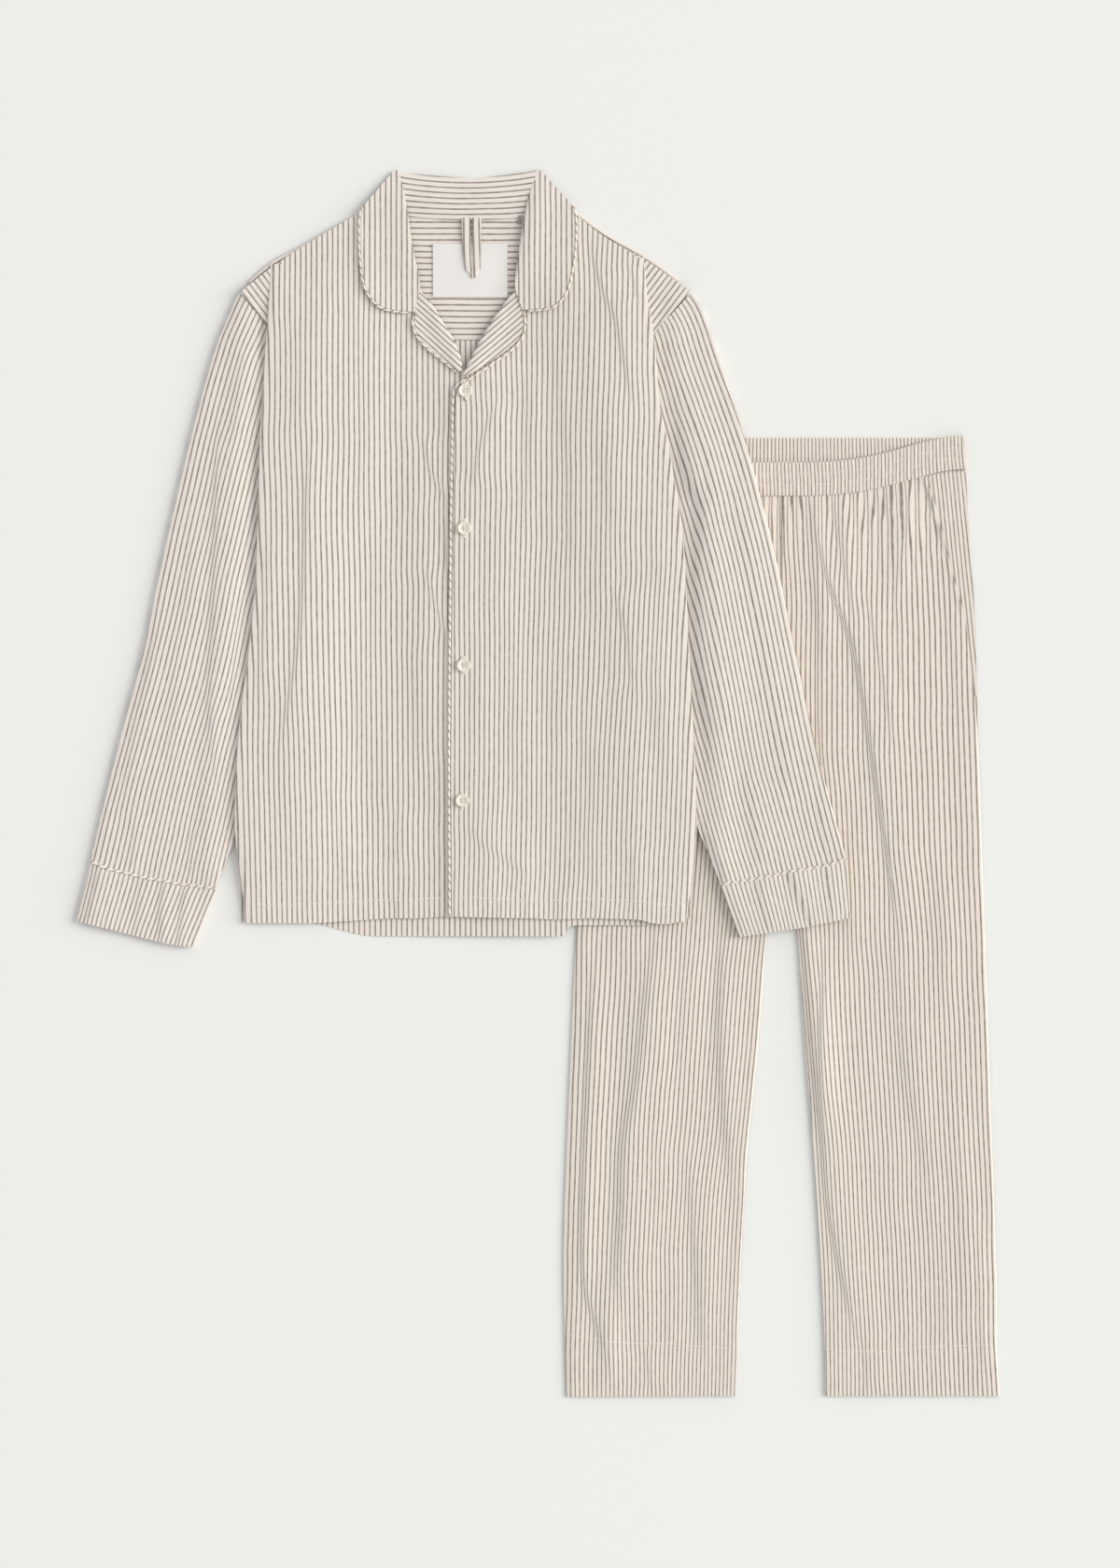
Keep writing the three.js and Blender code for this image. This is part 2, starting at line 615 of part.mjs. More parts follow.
function flatTube(outlines, down, thickness) {
  const { radius, top: topShare, bottom: bottomShare, least } = SLEEVE_EDGE;
  const at = boardPanel(outlines);
  const loop = (v, inset) => {
    const width = at(v, 0).distanceTo(at(v, 1));
    const level = (u, top) => {
      const shrunk = THREE.MathUtils.lerp(inset / width, 1 - inset / width, u);
      const p = at(v, shrunk);
      const rise = roundEdge(Math.min(shrunk, 1 - shrunk) * width, radius);
      const low = sleeveUnderside(p.x, p.y);
      const tall = sleeveHeight(p.x, p.y);
      const crown = low + tall * THREE.MathUtils.lerp(topShare, 1, rise) - inset;
      const bottom = low + tall * bottomShare * (1 - rise) + inset;
      return place(p.x, p.y, top ? crown : Math.min(bottom, crown - least));
    };
    return [...TUBE_TOP.map((u) => level(u, true)), ...TUBE_BOTTOM.map((u) => level(u, false))];
  };
  return tubeWall(
    down.map((v) => loop(v, 0)),
    down.map((v) => loop(v, thickness)),
  );
}

const moved = (points, dy) => points.map(([x, y]) => [x, y + dy]);

function sleeve(first, second, head, seam) {
  const down = [0, 0.035, 0.075, 0.12, 0.17, 0.225, ...evenly(10).slice(3, -1), 0.95, 1];
  return flatTube({ first, second, head, foot: moved(seam, -CUFF_SEAM_GAP) }, down, CLOTH);
}

function cuff({ seam, edge }) {
  const [top, bottom] = [moved(seam, CUFF_SEAM_GAP), edge];
  const outlines = {
    first: [top[0], bottom[0]],
    second: [top.at(-1), bottom.at(-1)],
    head: top,
    foot: bottom,
    reach: 1,
  };
  return flatTube(outlines, evenly(3), DOUBLE_CLOTH);
}

// Piping around the seam between a sleeve and its cuff.
function cuffPiping({ seam }) {
  const line = boardCurve(seam);
  const width = line(0).distanceTo(line(1));
  const across = [0.004, 0.03, 0.1, 0.23, 0.36, 0.5, 0.64, 0.77, 0.9, 0.97, 0.996];
  const topShare = 0.6;
  const at = (u, top) => {
    const p = line(u);
    const rise = roundEdge(Math.min(u, 1 - u) * width, SLEEVE_EDGE.radius);
    const low = sleeveUnderside(p.x, p.y) + PIPING_RADIUS;
    const tall = sleeveHeight(p.x, p.y) - 1.6 * PIPING_RADIUS;
    const share = top ? THREE.MathUtils.lerp(topShare, 1, rise) : SLEEVE_EDGE.bottom * (1 - rise);
    return place(p.x, p.y, low + tall * share);
  };
  const upper = across.map((u) => at(u, true));
  const lower = across.map((u) => at(u, false)).reverse();
  return cordAlong([...upper, ...lower], PIPING_RADIUS, true);
}

// Collar: its back part folds over behind the neck, and a leaf lies on each front.
const LEAVES = {
  left: {
    roll: [[427, 184], [434.5, 215], [442, 263], [450, 303], [448, 318], [443.5, 334]],
    outer: [
      [421, 186], [403, 206], [388, 226], [386.5, 262], [390, 300], [400, 321], [414, 330.5], [440, 334],
    ],
    underside: frontUnderside,
  },
  right: {
    roll: [[573, 184], [565, 215], [557, 263], [552, 303], [555.5, 320], [560, 332]],
    outer: [
      [579, 186], [598, 205], [614, 224], [615.5, 262], [610, 300], [603, 318], [590, 328.5], [564, 332],
    ],
    underside: rightFrontUnderside,
  },
};

// Height of a leaf's underside: on the front, and down to the floor behind the neck.
function leafUnderside(leaf, x, y) {
  const onShirt = ease((y - LEAF_ONTO_SHIRT.from) / LEAF_ONTO_SHIRT.over);
  const resting = leaf.underside(x, y) + CLOTH + LEAF_OVER_FRONT;
  return THREE.MathUtils.lerp(LEAF_AT_NECK, resting, onShirt);
}

function collarLeaf(leaf) {
  const across = [0, 0.04, 0.12, 0.35, 0.6, 0.82, 1];
  const grid = plan({ first: leaf.roll, second: leaf.outer }, evenly(11), across).map((row) => {
    const width = row[0].distanceTo(row.at(-1));
    return row.map((p, i) => {
      const rolled = 1 - ease((p.y - LEAF_ROLL.end) / LEAF_ROLL.fade);
      const drop = LEAF_ROLL.drop * rolled * (1 - roundEdge(width * across[i], LEAF_ROLL.radius));
      return place(p.x, p.y, leafUnderside(leaf, p.x, p.y) - drop + DOUBLE_CLOTH / 2);
    });
  });
  return wall(grid, DOUBLE_CLOTH);
}

// The back of the collar goes up from the neck seam on the floor, turns over at the top and comes
// down again to the seam.
function collarBack() {
  const { left, width, middle, half, top, topRise, turnRadius } = COLLAR_BACK;
  const { seam, seamMiddle, seamHalf, seamRise } = COLLAR_BACK;
  const low = DOUBLE_CLOTH / 2;
  const high = low + 2 * turnRadius;
  const grid = evenly(10).map((share) => {
    const x = left + share * width;
    const fold = top - topRise * ((x - middle) / half) ** 2;
    const neck = seam - seamRise * ((x - seamMiddle) / seamHalf) ** 2;
    return [
      place(x, neck - 6, low),
      place(x, (fold + neck) / 2, low),
      ...halfTurn(turnRadius).map(({ d, z }) => place(x, fold + low + d, low + z)),
      place(x, fold + 12, high),
      place(x, neck - 8, high),
      place(x, neck, low + DOUBLE_CLOTH),
    ];
  });
  return wall(grid, DOUBLE_CLOTH);
}

function collar() {
  return joined(collarBack(), collarLeaf(LEAVES.left), collarLeaf(LEAVES.right));
}

// Lapels: the turned-out tops of the front facings, from the roll line to the piped edge.
const LAPELS = {
  left: {
    roll: [[451.5, 313], [463, 327], [473, 343], [485.5, 364], [493.5, 384], [494.5, 397]],
    outer: [[445, 336], [443.5, 346], [447, 358], [458, 371.5], [476, 386], [491.5, 398.5]],
    underside: frontUnderside,
  },
  right: {
    roll: [[552, 310], [539, 327.5], [527, 344.5], [516.5, 362], [506.5, 380.5], [496.5, 401]],
    outer: [[559, 334.5], [560.5, 347], [557, 361], [545, 373.5], [523, 389], [497.5, 404.8]],
    underside: rightFrontUnderside,
  },
};

function lapelMiddle(lapel, x, y) {
  return lapel.underside(x, y) + CLOTH + LAPEL_OVER_FRONT + DOUBLE_CLOTH / 2;
}

function lapelFacing(lapel) {
  const outlines = { first: lapel.roll, second: lapel.outer };
  const grid = plan(outlines, evenly(8), [0, 0.1, 0.35, 0.7, 1]).map((row) =>
    row.map((p, i) => place(p.x, p.y, lapelMiddle(lapel, p.x, p.y) - (i ? 0 : LAPEL_ROLL_DROP))),
  );
  return wall(grid, DOUBLE_CLOTH);
}

// Piping along an outline, pushed out from the edge of the cloth that it finishes.
function edgePiping(outline, steps, from, to, outward, height) {
  const line = boardCurve(outline);
  const push = PIPING_RADIUS + SEAM_GAP + PIPING_LIFT;
  const nearby = 0.01;
  const path = evenly(steps).map((share) => {
    const t = THREE.MathUtils.lerp(from, to, share);
    const p = line(t);
    const ahead = line(t + nearby).sub(line(t - nearby)).normalize();
    const away = new THREE.Vector2(-ahead.y, ahead.x).multiplyScalar(outward * push);
    return place(p.x + away.x, p.y + away.y, height(p.x + away.x, p.y + away.y));
  });
  return cordAlong(path, PIPING_RADIUS);
}

function collarPiping(leaf, outward) {
  return edgePiping(leaf.outer, 18, 0.26, 0.985, outward, (x, y) => {
    return leafUnderside(leaf, x, y) + DOUBLE_CLOTH / 2 + PIPING_LIFT;
  });
}

function leftLapelPiping() {
  return edgePiping(LAPELS.left.outer, 9, 0.05, 0.97, 1, (x, y) => {
    return lapelMiddle(LAPELS.left, x, y) + PIPING_LIFT;
  });
}

// One length of piping finishes the right lapel and runs on down the front edge to the hem.
const FRONT_EDGE_CORD = [
  [561.6, 336], [562.8, 347], [559.4, 362], [546.8, 375.8], [524.8, 391.8], [511, 401],
  [503, 406.2], [495.5, 408.4], [489.5, 413], [486, 420.5], [484.8, 445], [484.2, 488],
  [483.2, 532], [482.6, 600], [481.6, 700], [481.2, 760], [481, 850], [481.8, 982.5],
];

const LAPEL_SHARE = 0.24; // share of the cord that goes round the lapel
const LAPEL_FOOT = { from: 404, over: 12 }; // below this the cord lies on the front itself

function frontEdgePiping() {
  const line = boardCurve(FRONT_EDGE_CORD);
  const frontEdge = 485;
  const shares = [
    ...evenly(20).map((share) => LAPEL_SHARE * share),
    ...evenly(20).slice(1).map((share) => THREE.MathUtils.lerp(LAPEL_SHARE, 1, share)),
  ];
  const path = shares.map((share) => {
    const { x, y } = line(share);
    const turnedOut = 1 - ease((y - LAPEL_FOOT.from) / LAPEL_FOOT.over);
    const front = rightFrontUnderside(Math.max(x, frontEdge), y) + CLOTH / 2;
    const onLapel = turnedOut * (LAPEL_OVER_FRONT + DOUBLE_CLOTH);
    return place(x, y, front + onLapel + 2 * PIPING_LIFT);
  });
  return cordAlong(path, PIPING_RADIUS);
}

// A sew-through button with four holes and a raised rim.
function button() {
  const { radius, height, rim, dish, bevel, foot, holeRadius, holeSpread } = BUTTON;
  const profile = [
    [0, 0], [radius - foot, 0], [radius, bevel], [radius, height - bevel],
    [radius - bevel, height], [radius - rim, height - dish], [0, height - dish],
  ].map(([r, z]) => new THREE.Vector2(r, z));
  const disc = new THREE.LatheGeometry(profile, 16).rotateX(Math.PI / 2);
  const holes = [45, 135, 225, 315].map((degrees) => {
    const angle = THREE.MathUtils.degToRad(degrees);
    return new THREE.CylinderGeometry(holeRadius, holeRadius, 4 * height, 6)
      .rotateX(Math.PI / 2)
      .translate(holeSpread * Math.cos(angle), holeSpread * Math.sin(angle), 0);
  });
  const cut = solid(disc).subtract(wasm.Manifold.union(holes.map(solid)));
  return geometryOf(cut);
}

function neckLabel() {
  const { x, y, width, height, thickness } = LABEL;
  const centre = place(x + width / 2, y + height / 2, CLOTH + SEAM_GAP + thickness / 2);
  return new THREE.BoxGeometry(width, height, thickness).translate(...centre.toArray());
}

// Hanging loop: a narrow strip folded at its tip, its two strands side by side.
function hangingLoop() {
  const { x, top, tip, strand, gap, slit, shoulder, tipHalf, thickness } = LOOP;
  const half = strand + gap / 2;
  const taper = 1;
  const right = [
    [gap / 2, top], [half, top], [half - taper, tip - shoulder], [tipHalf, tip],
  ].map(([dx, y]) => [x + dx, y]);
  const left = right.map(([px, y]) => [2 * x - px, y]).reverse();
  const outline = [...right, ...left, [x - taper, tip - slit], [x + taper, tip - slit]];
  const lift = CLOTH + SEAM_GAP + LABEL.thickness + SEAM_GAP;
  const strip = new THREE.ExtrudeGeometry(boardShape(outline), { depth: thickness, bevelEnabled: false });
  return strip.translate(0, 0, lift);
}

// Trousers: the fronts arch over the backs, round down to the side seams and gather at the band.
const LEG_COLUMNS = [0, 0.014, 0.04, ...evenly(16).slice(1, -1), 0.96, 0.986, 1];
const LEG_ROWS = [0, 0.02, 0.05, 0.09, 0.14, ...evenly(12).slice(2), 0.965].sort(ascending);

// The line that a leg panel's top follows below its half of the waistband.
const bandSeam = (from, to) =>
  evenly(8).map((share) => {
    const x = THREE.MathUtils.lerp(from, to, share);
    return [x, bandTop(x) + BAND_HEIGHT + BAND_GAP];
  });

function trouserFront(inner, outer, pocketed) {
  const outlines = { first: inner, second: outer, head: bandSeam(inner[0][0], outer[0][0]) };
  const grid = plan(outlines, LEG_ROWS, LEG_COLUMNS).map((row) => {
    const width = row[0].distanceTo(row.at(-1));
    return row.map((p, i) => {
      const u = LEG_COLUMNS[i];
      const fading = 1 - ease((p.y - GATHER.from) / GATHER.length);
      const gather = (i % 2 ? 1 : -1) * GATHER.height * fading;
      const free = 1 - roundEdge((1 - u) * width, LEG_EDGE_RADIUS);
      const inner = 1 - roundEdge(u * width, LEG_EDGE_RADIUS);
      const crotch = inner * ease((p.y - CROTCH.from) / CROTCH.over);
      const belowPocket = p.y - POCKET_END - FACING_CLEARANCE;
      const atPocket = pocketed ? ease(belowPocket / (MOUTH_END - POCKET_END)) : 1;
      const rounding = Math.max(free * atPocket, crotch);
      const crown = LEG_UNDERSIDE + gather + foldHeight(LEG_FOLDS, p.x, p.y);
      const seam = CLOTH + SEAM_GAP;
      return place(p.x, p.y, THREE.MathUtils.lerp(crown, seam, rounding) + CLOTH / 2);
    });
  });
  return wall(grid, CLOTH);
}

function trouserBack(inner, outer) {
  const top = BACK_BAND_TOP + BAND_HEIGHT + BAND_GAP;
  const head = [[inner[0][0], top], [outer[0][0], top]];
  const points = plan({ first: inner, second: outer, head }, evenly(12), evenly(4));
  return wall(raised(points, () => 0, CLOTH), CLOTH);
}

// The side of the trousers that shows beyond the slanted pocket mouth of the right front.
function pocketFacing() {
  const behind = 11;
  const grid = evenly(9).map((v) =>
    [0, 0.5, 1].map((u) => {
      const down = THREE.MathUtils.lerp(BACK_BAND_TOP + BAND_HEIGHT, POCKET_END, v);
      const x = THREE.MathUtils.lerp(xAt(POCKET_EDGE, down) - behind, xAt(LEG_OUTER_RIGHT, down), u);
      const y = Math.max(down, bandTop(x) + BAND_HEIGHT + BAND_GAP);
      return place(x, y, CLOTH + SEAM_GAP + CLOTH / 2);
    }),
  );
  return wall(grid, CLOTH);
}

// Waistband: one ring of gathered cloth and elastic, its front half lying lower than its back.
function waistband() {
  const count = BAND_WAVES * 2;
  const [left, right] = [TROUSERS_MIDDLE - WAIST_HALF, TROUSERS_MIDDLE + WAIST_HALF];
  const endRadius = 5;
  const opening = 1.0; // between the front and the back half
  const endCrown = 0.6; // outer face over the inner one at either end
  const shares = evenly(count);
  const sideways = (x, down) => ((x - TROUSERS_MIDDLE) / WAIST_HALF) * BAND_FLARE * down;
  const ends = (share) => 1 - roundEdge(Math.min(share, 1 - share) * (right - left), endRadius);
  const loop = (down, inset) => {
    const xOf = (share) =>
      THREE.MathUtils.clamp(THREE.MathUtils.lerp(left, right, share), left + inset, right - inset);
    const front = shares.map((share, i) => {
      const x = xOf(share);
      const wave = inset ? 0 : (i % 2) * BAND_RUFFLE;
      const crown = 2 * BAND_WALL + opening + wave - inset;
      const z = THREE.MathUtils.lerp(crown, BAND_WALL + (inset ? 0 : endCrown), ends(share));
      return place(x + sideways(x, down), bandTop(x) + BAND_HEIGHT * down, z);
    });
    const coarse = shares.filter((_, i) => i % 2 === 0 && i > 0 && i < count);
    const back = coarse.reverse().map((share) => {
      const x = xOf(share);
      const y = THREE.MathUtils.lerp(BACK_BAND_TOP, bandTop(x), ends(share)) + BAND_HEIGHT * down;
      return place(x + sideways(x, down), y, inset);
    });
    return [...front, ...back];
  };
  const down = [0, 0.5, 1];
  return tubeWall(down.map((v) => loop(v, 0)), down.map((v) => loop(v, BAND_WALL)));
}

function piece(name, geometry, color, roughness = 0.9) {
  const material = new THREE.MeshStandardMaterial({ color, roughness, metalness: 0 });
  const mesh = new THREE.Mesh(geometry, material);
  mesh.name = name;
  return mesh;
}

function shirt() {
  const group = new THREE.Group();
  const { shirtCloth, piping, shell, label } = COLOURS;
  group.add(
    piece("shirt_back", shirtBack(), shirtCloth),
    piece("shirt_yoke", yoke(), shirtCloth),
    piece("shirt_front_left", shirtFront("left"), shirtCloth),
    piece("shirt_front_right", shirtFront("right"), shirtCloth),
    piece(
      "sleeve_left",
      sleeve(SLEEVE_OUTER_LEFT, SLEEVE_INNER_LEFT, SLEEVE_HEAD_LEFT, CUFF_LEFT.seam),
      shirtCloth,
    ),
    piece(
      "sleeve_right",
      sleeve(SLEEVE_OUTER_RIGHT, SLEEVE_INNER_RIGHT, SLEEVE_HEAD_RIGHT, CUFF_RIGHT.seam),
      shirtCloth,
    ),
    piece("cuff_left", cuff(CUFF_LEFT), shirtCloth),
    piece("cuff_right", cuff(CUFF_RIGHT), shirtCloth),
    piece("collar", collar(), shirtCloth),
    piece("lapel_left", lapelFacing(LAPELS.left), shirtCloth),
    piece("lapel_right", lapelFacing(LAPELS.right), shirtCloth),
    piece("piping_collar_left", collarPiping(LEAVES.left, 1), piping),
    piece("piping_collar_right", collarPiping(LEAVES.right, -1), piping),
    piece("piping_lapel_left", leftLapelPiping(), piping),
    piece("piping_front_edge", frontEdgePiping(), piping),
    piece("piping_cuff_left", cuffPiping(CUFF_LEFT), piping),
    piece("piping_cuff_right", cuffPiping(CUFF_RIGHT), piping),
    piece("neck_label", neckLabel(), label),
    piece("hanging_loop", hangingLoop(), shirtCloth),
  );
  BUTTONS.forEach(({ x, y }, i) => {
    const mesh = piece(`button_${i + 1}`, button(), shell, 0.25);
    mesh.position.copy(place(x, y, rightFrontUnderside(x, y) + CLOTH + SEAM_GAP));
    group.add(mesh);
  });
  return group;
}

function trousers() {
  const group = new THREE.Group();
  const { trouserCloth } = COLOURS;
  const belowMouth = LEG_OUTER_RIGHT.filter(([, y]) => y > MOUTH_END);
  const pocketSide = [...POCKET_EDGE, ...belowMouth];
  group.add(
    piece("trouser_front_left", trouserFront(LEG_INNER_LEFT, LEG_OUTER_LEFT, false), trouserCloth),
    piece("trouser_front_right", trouserFront(LEG_INNER_RIGHT, pocketSide, true), trouserCloth),
    piece("trouser_back_left", trouserBack(LEG_INNER_LEFT, LEG_OUTER_LEFT), trouserCloth),
    piece("trouser_back_right", trouserBack(LEG_INNER_RIGHT, LEG_OUTER_RIGHT), trouserCloth),
    piece("pocket_facing", pocketFacing(), trouserCloth),
    piece("waistband", waistband(), trouserCloth),
  );
  return group;
}

const pyjamaSet = new THREE.Group();
pyjamaSet.add(trousers(), shirt());
export default pyjamaSet;
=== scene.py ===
"""A striped cotton pyjama set laid flat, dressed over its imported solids.

Places in the plane are board places, in millimetres: x from the board's left edge and y down from
its top edge. Heights are in millimetres above the floor. Meshes are made in metres.
"""

import logging
import math
from dataclasses import dataclass
from enum import Enum
from functools import cached_property
from typing import Callable

import bpy
import numpy as np
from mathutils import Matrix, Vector


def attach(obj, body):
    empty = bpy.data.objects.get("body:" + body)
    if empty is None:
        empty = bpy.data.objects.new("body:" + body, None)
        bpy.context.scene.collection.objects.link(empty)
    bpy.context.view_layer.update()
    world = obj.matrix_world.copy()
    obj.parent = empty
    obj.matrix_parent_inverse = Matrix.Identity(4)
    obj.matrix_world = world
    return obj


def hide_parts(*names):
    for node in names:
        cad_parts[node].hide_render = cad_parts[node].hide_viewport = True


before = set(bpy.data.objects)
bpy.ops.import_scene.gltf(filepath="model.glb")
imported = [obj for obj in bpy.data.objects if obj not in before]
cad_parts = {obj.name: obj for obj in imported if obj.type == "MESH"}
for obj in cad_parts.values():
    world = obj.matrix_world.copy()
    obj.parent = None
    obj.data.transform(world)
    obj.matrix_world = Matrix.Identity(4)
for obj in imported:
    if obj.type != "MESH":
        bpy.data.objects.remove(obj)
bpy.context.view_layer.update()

log = logging.getLogger("pyjama_set")

MM = 0.001

# The board and the photograph's frame, in millimetres
ORIGIN_X = 576.7
ORIGIN_Y = 840.4
BOARD_WIDTH = 1200.0
BOARD_HEIGHT = 1680.0

# Cloth, as in the solids; the shells are thinner, on the same middle surfaces
CLOTH = 1.2
DOUBLE_CLOTH = 1.6
SHELL = 0.6
DOUBLE_SHELL = 1.1
SEAM_GAP = 0.3
STRIPE_REPEAT = 5.7

# How narrow a crease's flank is against its listed width, how much cloth it draws in, and the share
# of its length over which it fades at each end
CREASE_SHARPNESS = 0.5
CREASE_DRAW = 2.0
CREASE_TAPER = 0.24

Points = tuple[tuple[float, float], ...]
Pair = tuple[np.ndarray, np.ndarray]
Span = tuple[float, float]


def ease(share: np.ndarray | float) -> np.ndarray | float:
    """Soft step from 0 to 1."""
    c = np.clip(share, 0.0, 1.0)
    return c * c * (3.0 - 2.0 * c)


def mix(first: float, second: float, share: np.ndarray | float) -> np.ndarray | float:
    """Straight blend of two values."""
    return first + (second - first) * share


def round_edge(distance: np.ndarray | float, radius: float) -> np.ndarray | float:
    """Rise of a rounded edge: 0 at the edge, 1 from the radius inwards, a quarter circle between."""
    q = np.clip(np.asarray(distance) / radius, 0.0, 1.0)
    return np.sqrt(1.0 - (1.0 - q) ** 2)


def slope_off(distance: np.ndarray | float, reach: float) -> np.ndarray | float:
    """Rise of a gently sloping edge: 0 at the edge, 1 from the reach inwards, a quarter sine between."""
    return np.sin(np.pi / 2 * np.clip(np.asarray(distance) / reach, 0.0, 1.0))


def place(x: np.ndarray, y: np.ndarray, z: np.ndarray) -> np.ndarray:
    """Board places and heights as points of the part, in millimetres."""
    x, y, z = np.broadcast_arrays(x, y, z)
    return np.stack([x - ORIGIN_X, ORIGIN_Y - y, z], axis=-1)


def striped(distance: np.ndarray, repeat: float) -> np.ndarray:
    """Stripe coordinate of a distance across the cloth, where the stripes lie the repeat apart."""
    return distance * STRIPE_REPEAT / repeat


def run_along(line: np.ndarray) -> np.ndarray:
    """Length from the first point of a line to each of its points."""
    return np.r_[0.0, np.cumsum(np.linalg.norm(np.diff(line, axis=0), axis=1))]


def breadth(x: np.ndarray, y: np.ndarray) -> np.ndarray:
    """Distance between both ends of each row of a grid, as a column."""
    return np.hypot(x[:, -1] - x[:, 0], y[:, -1] - y[:, 0])[:, None]


def even(count: int) -> np.ndarray:
    """Shares from 0 to 1 in even steps."""
    return np.linspace(0.0, 1.0, count + 1)


def crowded(count: int, pull: float) -> np.ndarray:
    """Shares from 0 to 1 that stand closer together near both ends.

    Args:
        count: number of steps.
        pull: 0 for even steps, up to 1 for steps that shrink to nothing at the ends.

    Returns:
        The shares, each moved towards its nearer end by a sine wave.
    """
    t = even(count)
    return t - pull * np.sin(2.0 * np.pi * t) / (2.0 * np.pi)


@dataclass(frozen=True)
class Outline:
    """A line on the board through a few points, smooth along its length."""

    points: Points

    @cached_property
    def _fine(self) -> Pair:
        """Close points on the Catmull-Rom curve, and the share of the length at each."""
        p = np.asarray(self.points, float)
        last = len(p) - 1
        t = last * even(24 * last)
        i = np.minimum(t.astype(int), last - 1)
        w = (t - i)[:, None]
        before, after = p[np.maximum(i - 1, 0)], p[np.minimum(i + 2, last)]
        start, end = p[i], p[i + 1]
        v0, v1 = (end - before) / 2.0, (after - start) / 2.0
        curve = (
            (2 * start - 2 * end + v0 + v1) * w**3
            + (-3 * start + 3 * end - 2 * v0 - v1) * w**2
            + v0 * w
            + start
        )
        length = run_along(curve)
        return curve, length / length[-1]

    def at(self, shares: np.ndarray) -> np.ndarray:
        """Board points at shares of the length."""
        curve, along = self._fine
        return np.stack([np.interp(shares, along, curve[:, k]) for k in (0, 1)], axis=-1)

    def x_at(self, y: np.ndarray) -> np.ndarray:
        """The line's x at each y, straight between its points."""
        p = np.asarray(self.points, float)
        return np.interp(y, p[:, 1], p[:, 0])

    def beside(self, x: np.ndarray, y: np.ndarray) -> Pair:
        """Distance of board places from the line, and how far along it they are.

        Args:
            x: board x of the places.
            y: board y of the places.

        Returns:
            The distance, positive on the side of larger x where the line runs down, and the
            share of the line's length at the nearest point.
        """
        shares = even(6 * (len(self.points) - 1))
        line = self.at(shares)
        near = np.full(np.shape(x), np.inf)
        side = np.zeros(np.shape(x))
        along = np.zeros(np.shape(x))
        for k in range(len(line) - 1):
            step = line[k + 1] - line[k]
            rx, ry = x - line[k, 0], y - line[k, 1]
            t = np.clip((rx * step[0] + ry * step[1]) / (step @ step), 0.0, 1.0)
            away = np.hypot(rx - t * step[0], ry - t * step[1])
            closer = away < near
            turn = np.where(rx * step[1] - ry * step[0] >= 0.0, 1.0, -1.0)
            near = np.where(closer, away, near)
            side = np.where(closer, turn, side)
            along = np.where(closer, mix(shares[k], shares[k + 1], t), along)
        return near * side, along


@dataclass(frozen=True)
class Panel:
    """A piece of cloth between two side lines, its ends bent to a head and a foot line.

    Attributes:
        reach: share of the length over which an end's bend fades away.
    """

    first: Outline
    second: Outline
    head: Outline | None = None
    foot: Outline | None = None
    reach: float = 0.16

    def at(self, down: np.ndarray, across: np.ndarray) -> Pair:
        """Board x and y of a grid of shares down and across the panel."""
        a, b = self.first.at(down)[:, None], self.second.at(down)[:, None]
        u = across[None, :, None]
        grid = a + (b - a) * u
        for line, end in ((self.head, 0.0), (self.foot, 1.0)):
            if line is None:
                continue
            ends = (side.at(np.array([end])) for side in (self.first, self.second))
            straight = mix(*ends, u[0])
            share = 1.0 - ease(np.abs(down - end) / self.reach)
            grid = grid + share[:, None, None] * (line.at(across) - straight)[None]
        return grid[..., 0], grid[..., 1]


class Form(Enum):
    """What a crease does to the cloth along its path."""

    STEP = "rises to the right and falls away again"
    TROUGH = "dips"
    RIDGE = "stands up"


@dataclass(frozen=True)
class Crease:
    """A soft crease along a path, tapered at both ends.

    Attributes:
        path: board points from top to bottom.
        width: half width of the soft flank.
        height: height of the step, ridge or trough.
        tail: distance over which a step falls away again.
        take_up: width of cloth that the crease hides, which draws the stripes together.
        form: step, trough or ridge.
    """

    path: Points
    width: float
    height: float
    tail: float = 42.0
    take_up: float = 0.0
    form: Form = Form.STEP

    def lift(self, x: np.ndarray, y: np.ndarray) -> Pair:
        """Height and stripe shift at board places.

        A step follows half of one plus the hyperbolic tangent of the distance over the width, and
        then falls as a bell curve over the tail. A ridge and a trough are bell curves.
        """
        d, along = Outline(self.path).beside(x, y)
        taper = ease(along / CREASE_TAPER) * ease((1.0 - along) / CREASE_TAPER)
        width = self.width * CREASE_SHARPNESS
        flank = 0.5 * (1.0 + np.tanh(d / width))
        if self.form is Form.STEP:
            shape = flank * np.exp(-((np.maximum(d, 0.0) / self.tail) ** 2))
        else:
            shape = np.exp(-((d / width) ** 2)) * (1 if self.form is Form.RIDGE else -1)
        fade = np.exp(-((np.maximum(np.abs(d) - width, 0.0) / (1.6 * self.tail)) ** 2))
        return self.height * shape * taper, CREASE_DRAW * self.take_up * (flank - 0.5) * fade * taper


def creased(creases: tuple[Crease, ...], x: np.ndarray, y: np.ndarray) -> Pair:
    """Summed height and stripe shift of several creases."""
    x, y = np.broadcast_arrays(np.asarray(x, float), np.asarray(y, float))
    lift, shift = np.zeros(x.shape), np.zeros(x.shape)
    for crease in creases:
        more, drawn = crease.lift(x, y)
        lift, shift = lift + more, shift + drawn
    return lift, shift


def unevenness(x: np.ndarray, y: np.ndarray, seed: int, height: float) -> np.ndarray:
    """Small long waves that real cloth keeps: sine waves of 26 to 90 mm across, far longer down."""
    draw = np.random.default_rng(seed)
    total = 0.0
    for _ in range(9):
        across, along = draw.uniform(26, 90), draw.uniform(160, 520) * draw.choice([-1, 1])
        total = total + np.sin(2 * np.pi * (x / across + y / along + draw.uniform()))
    return height * total / 3.0


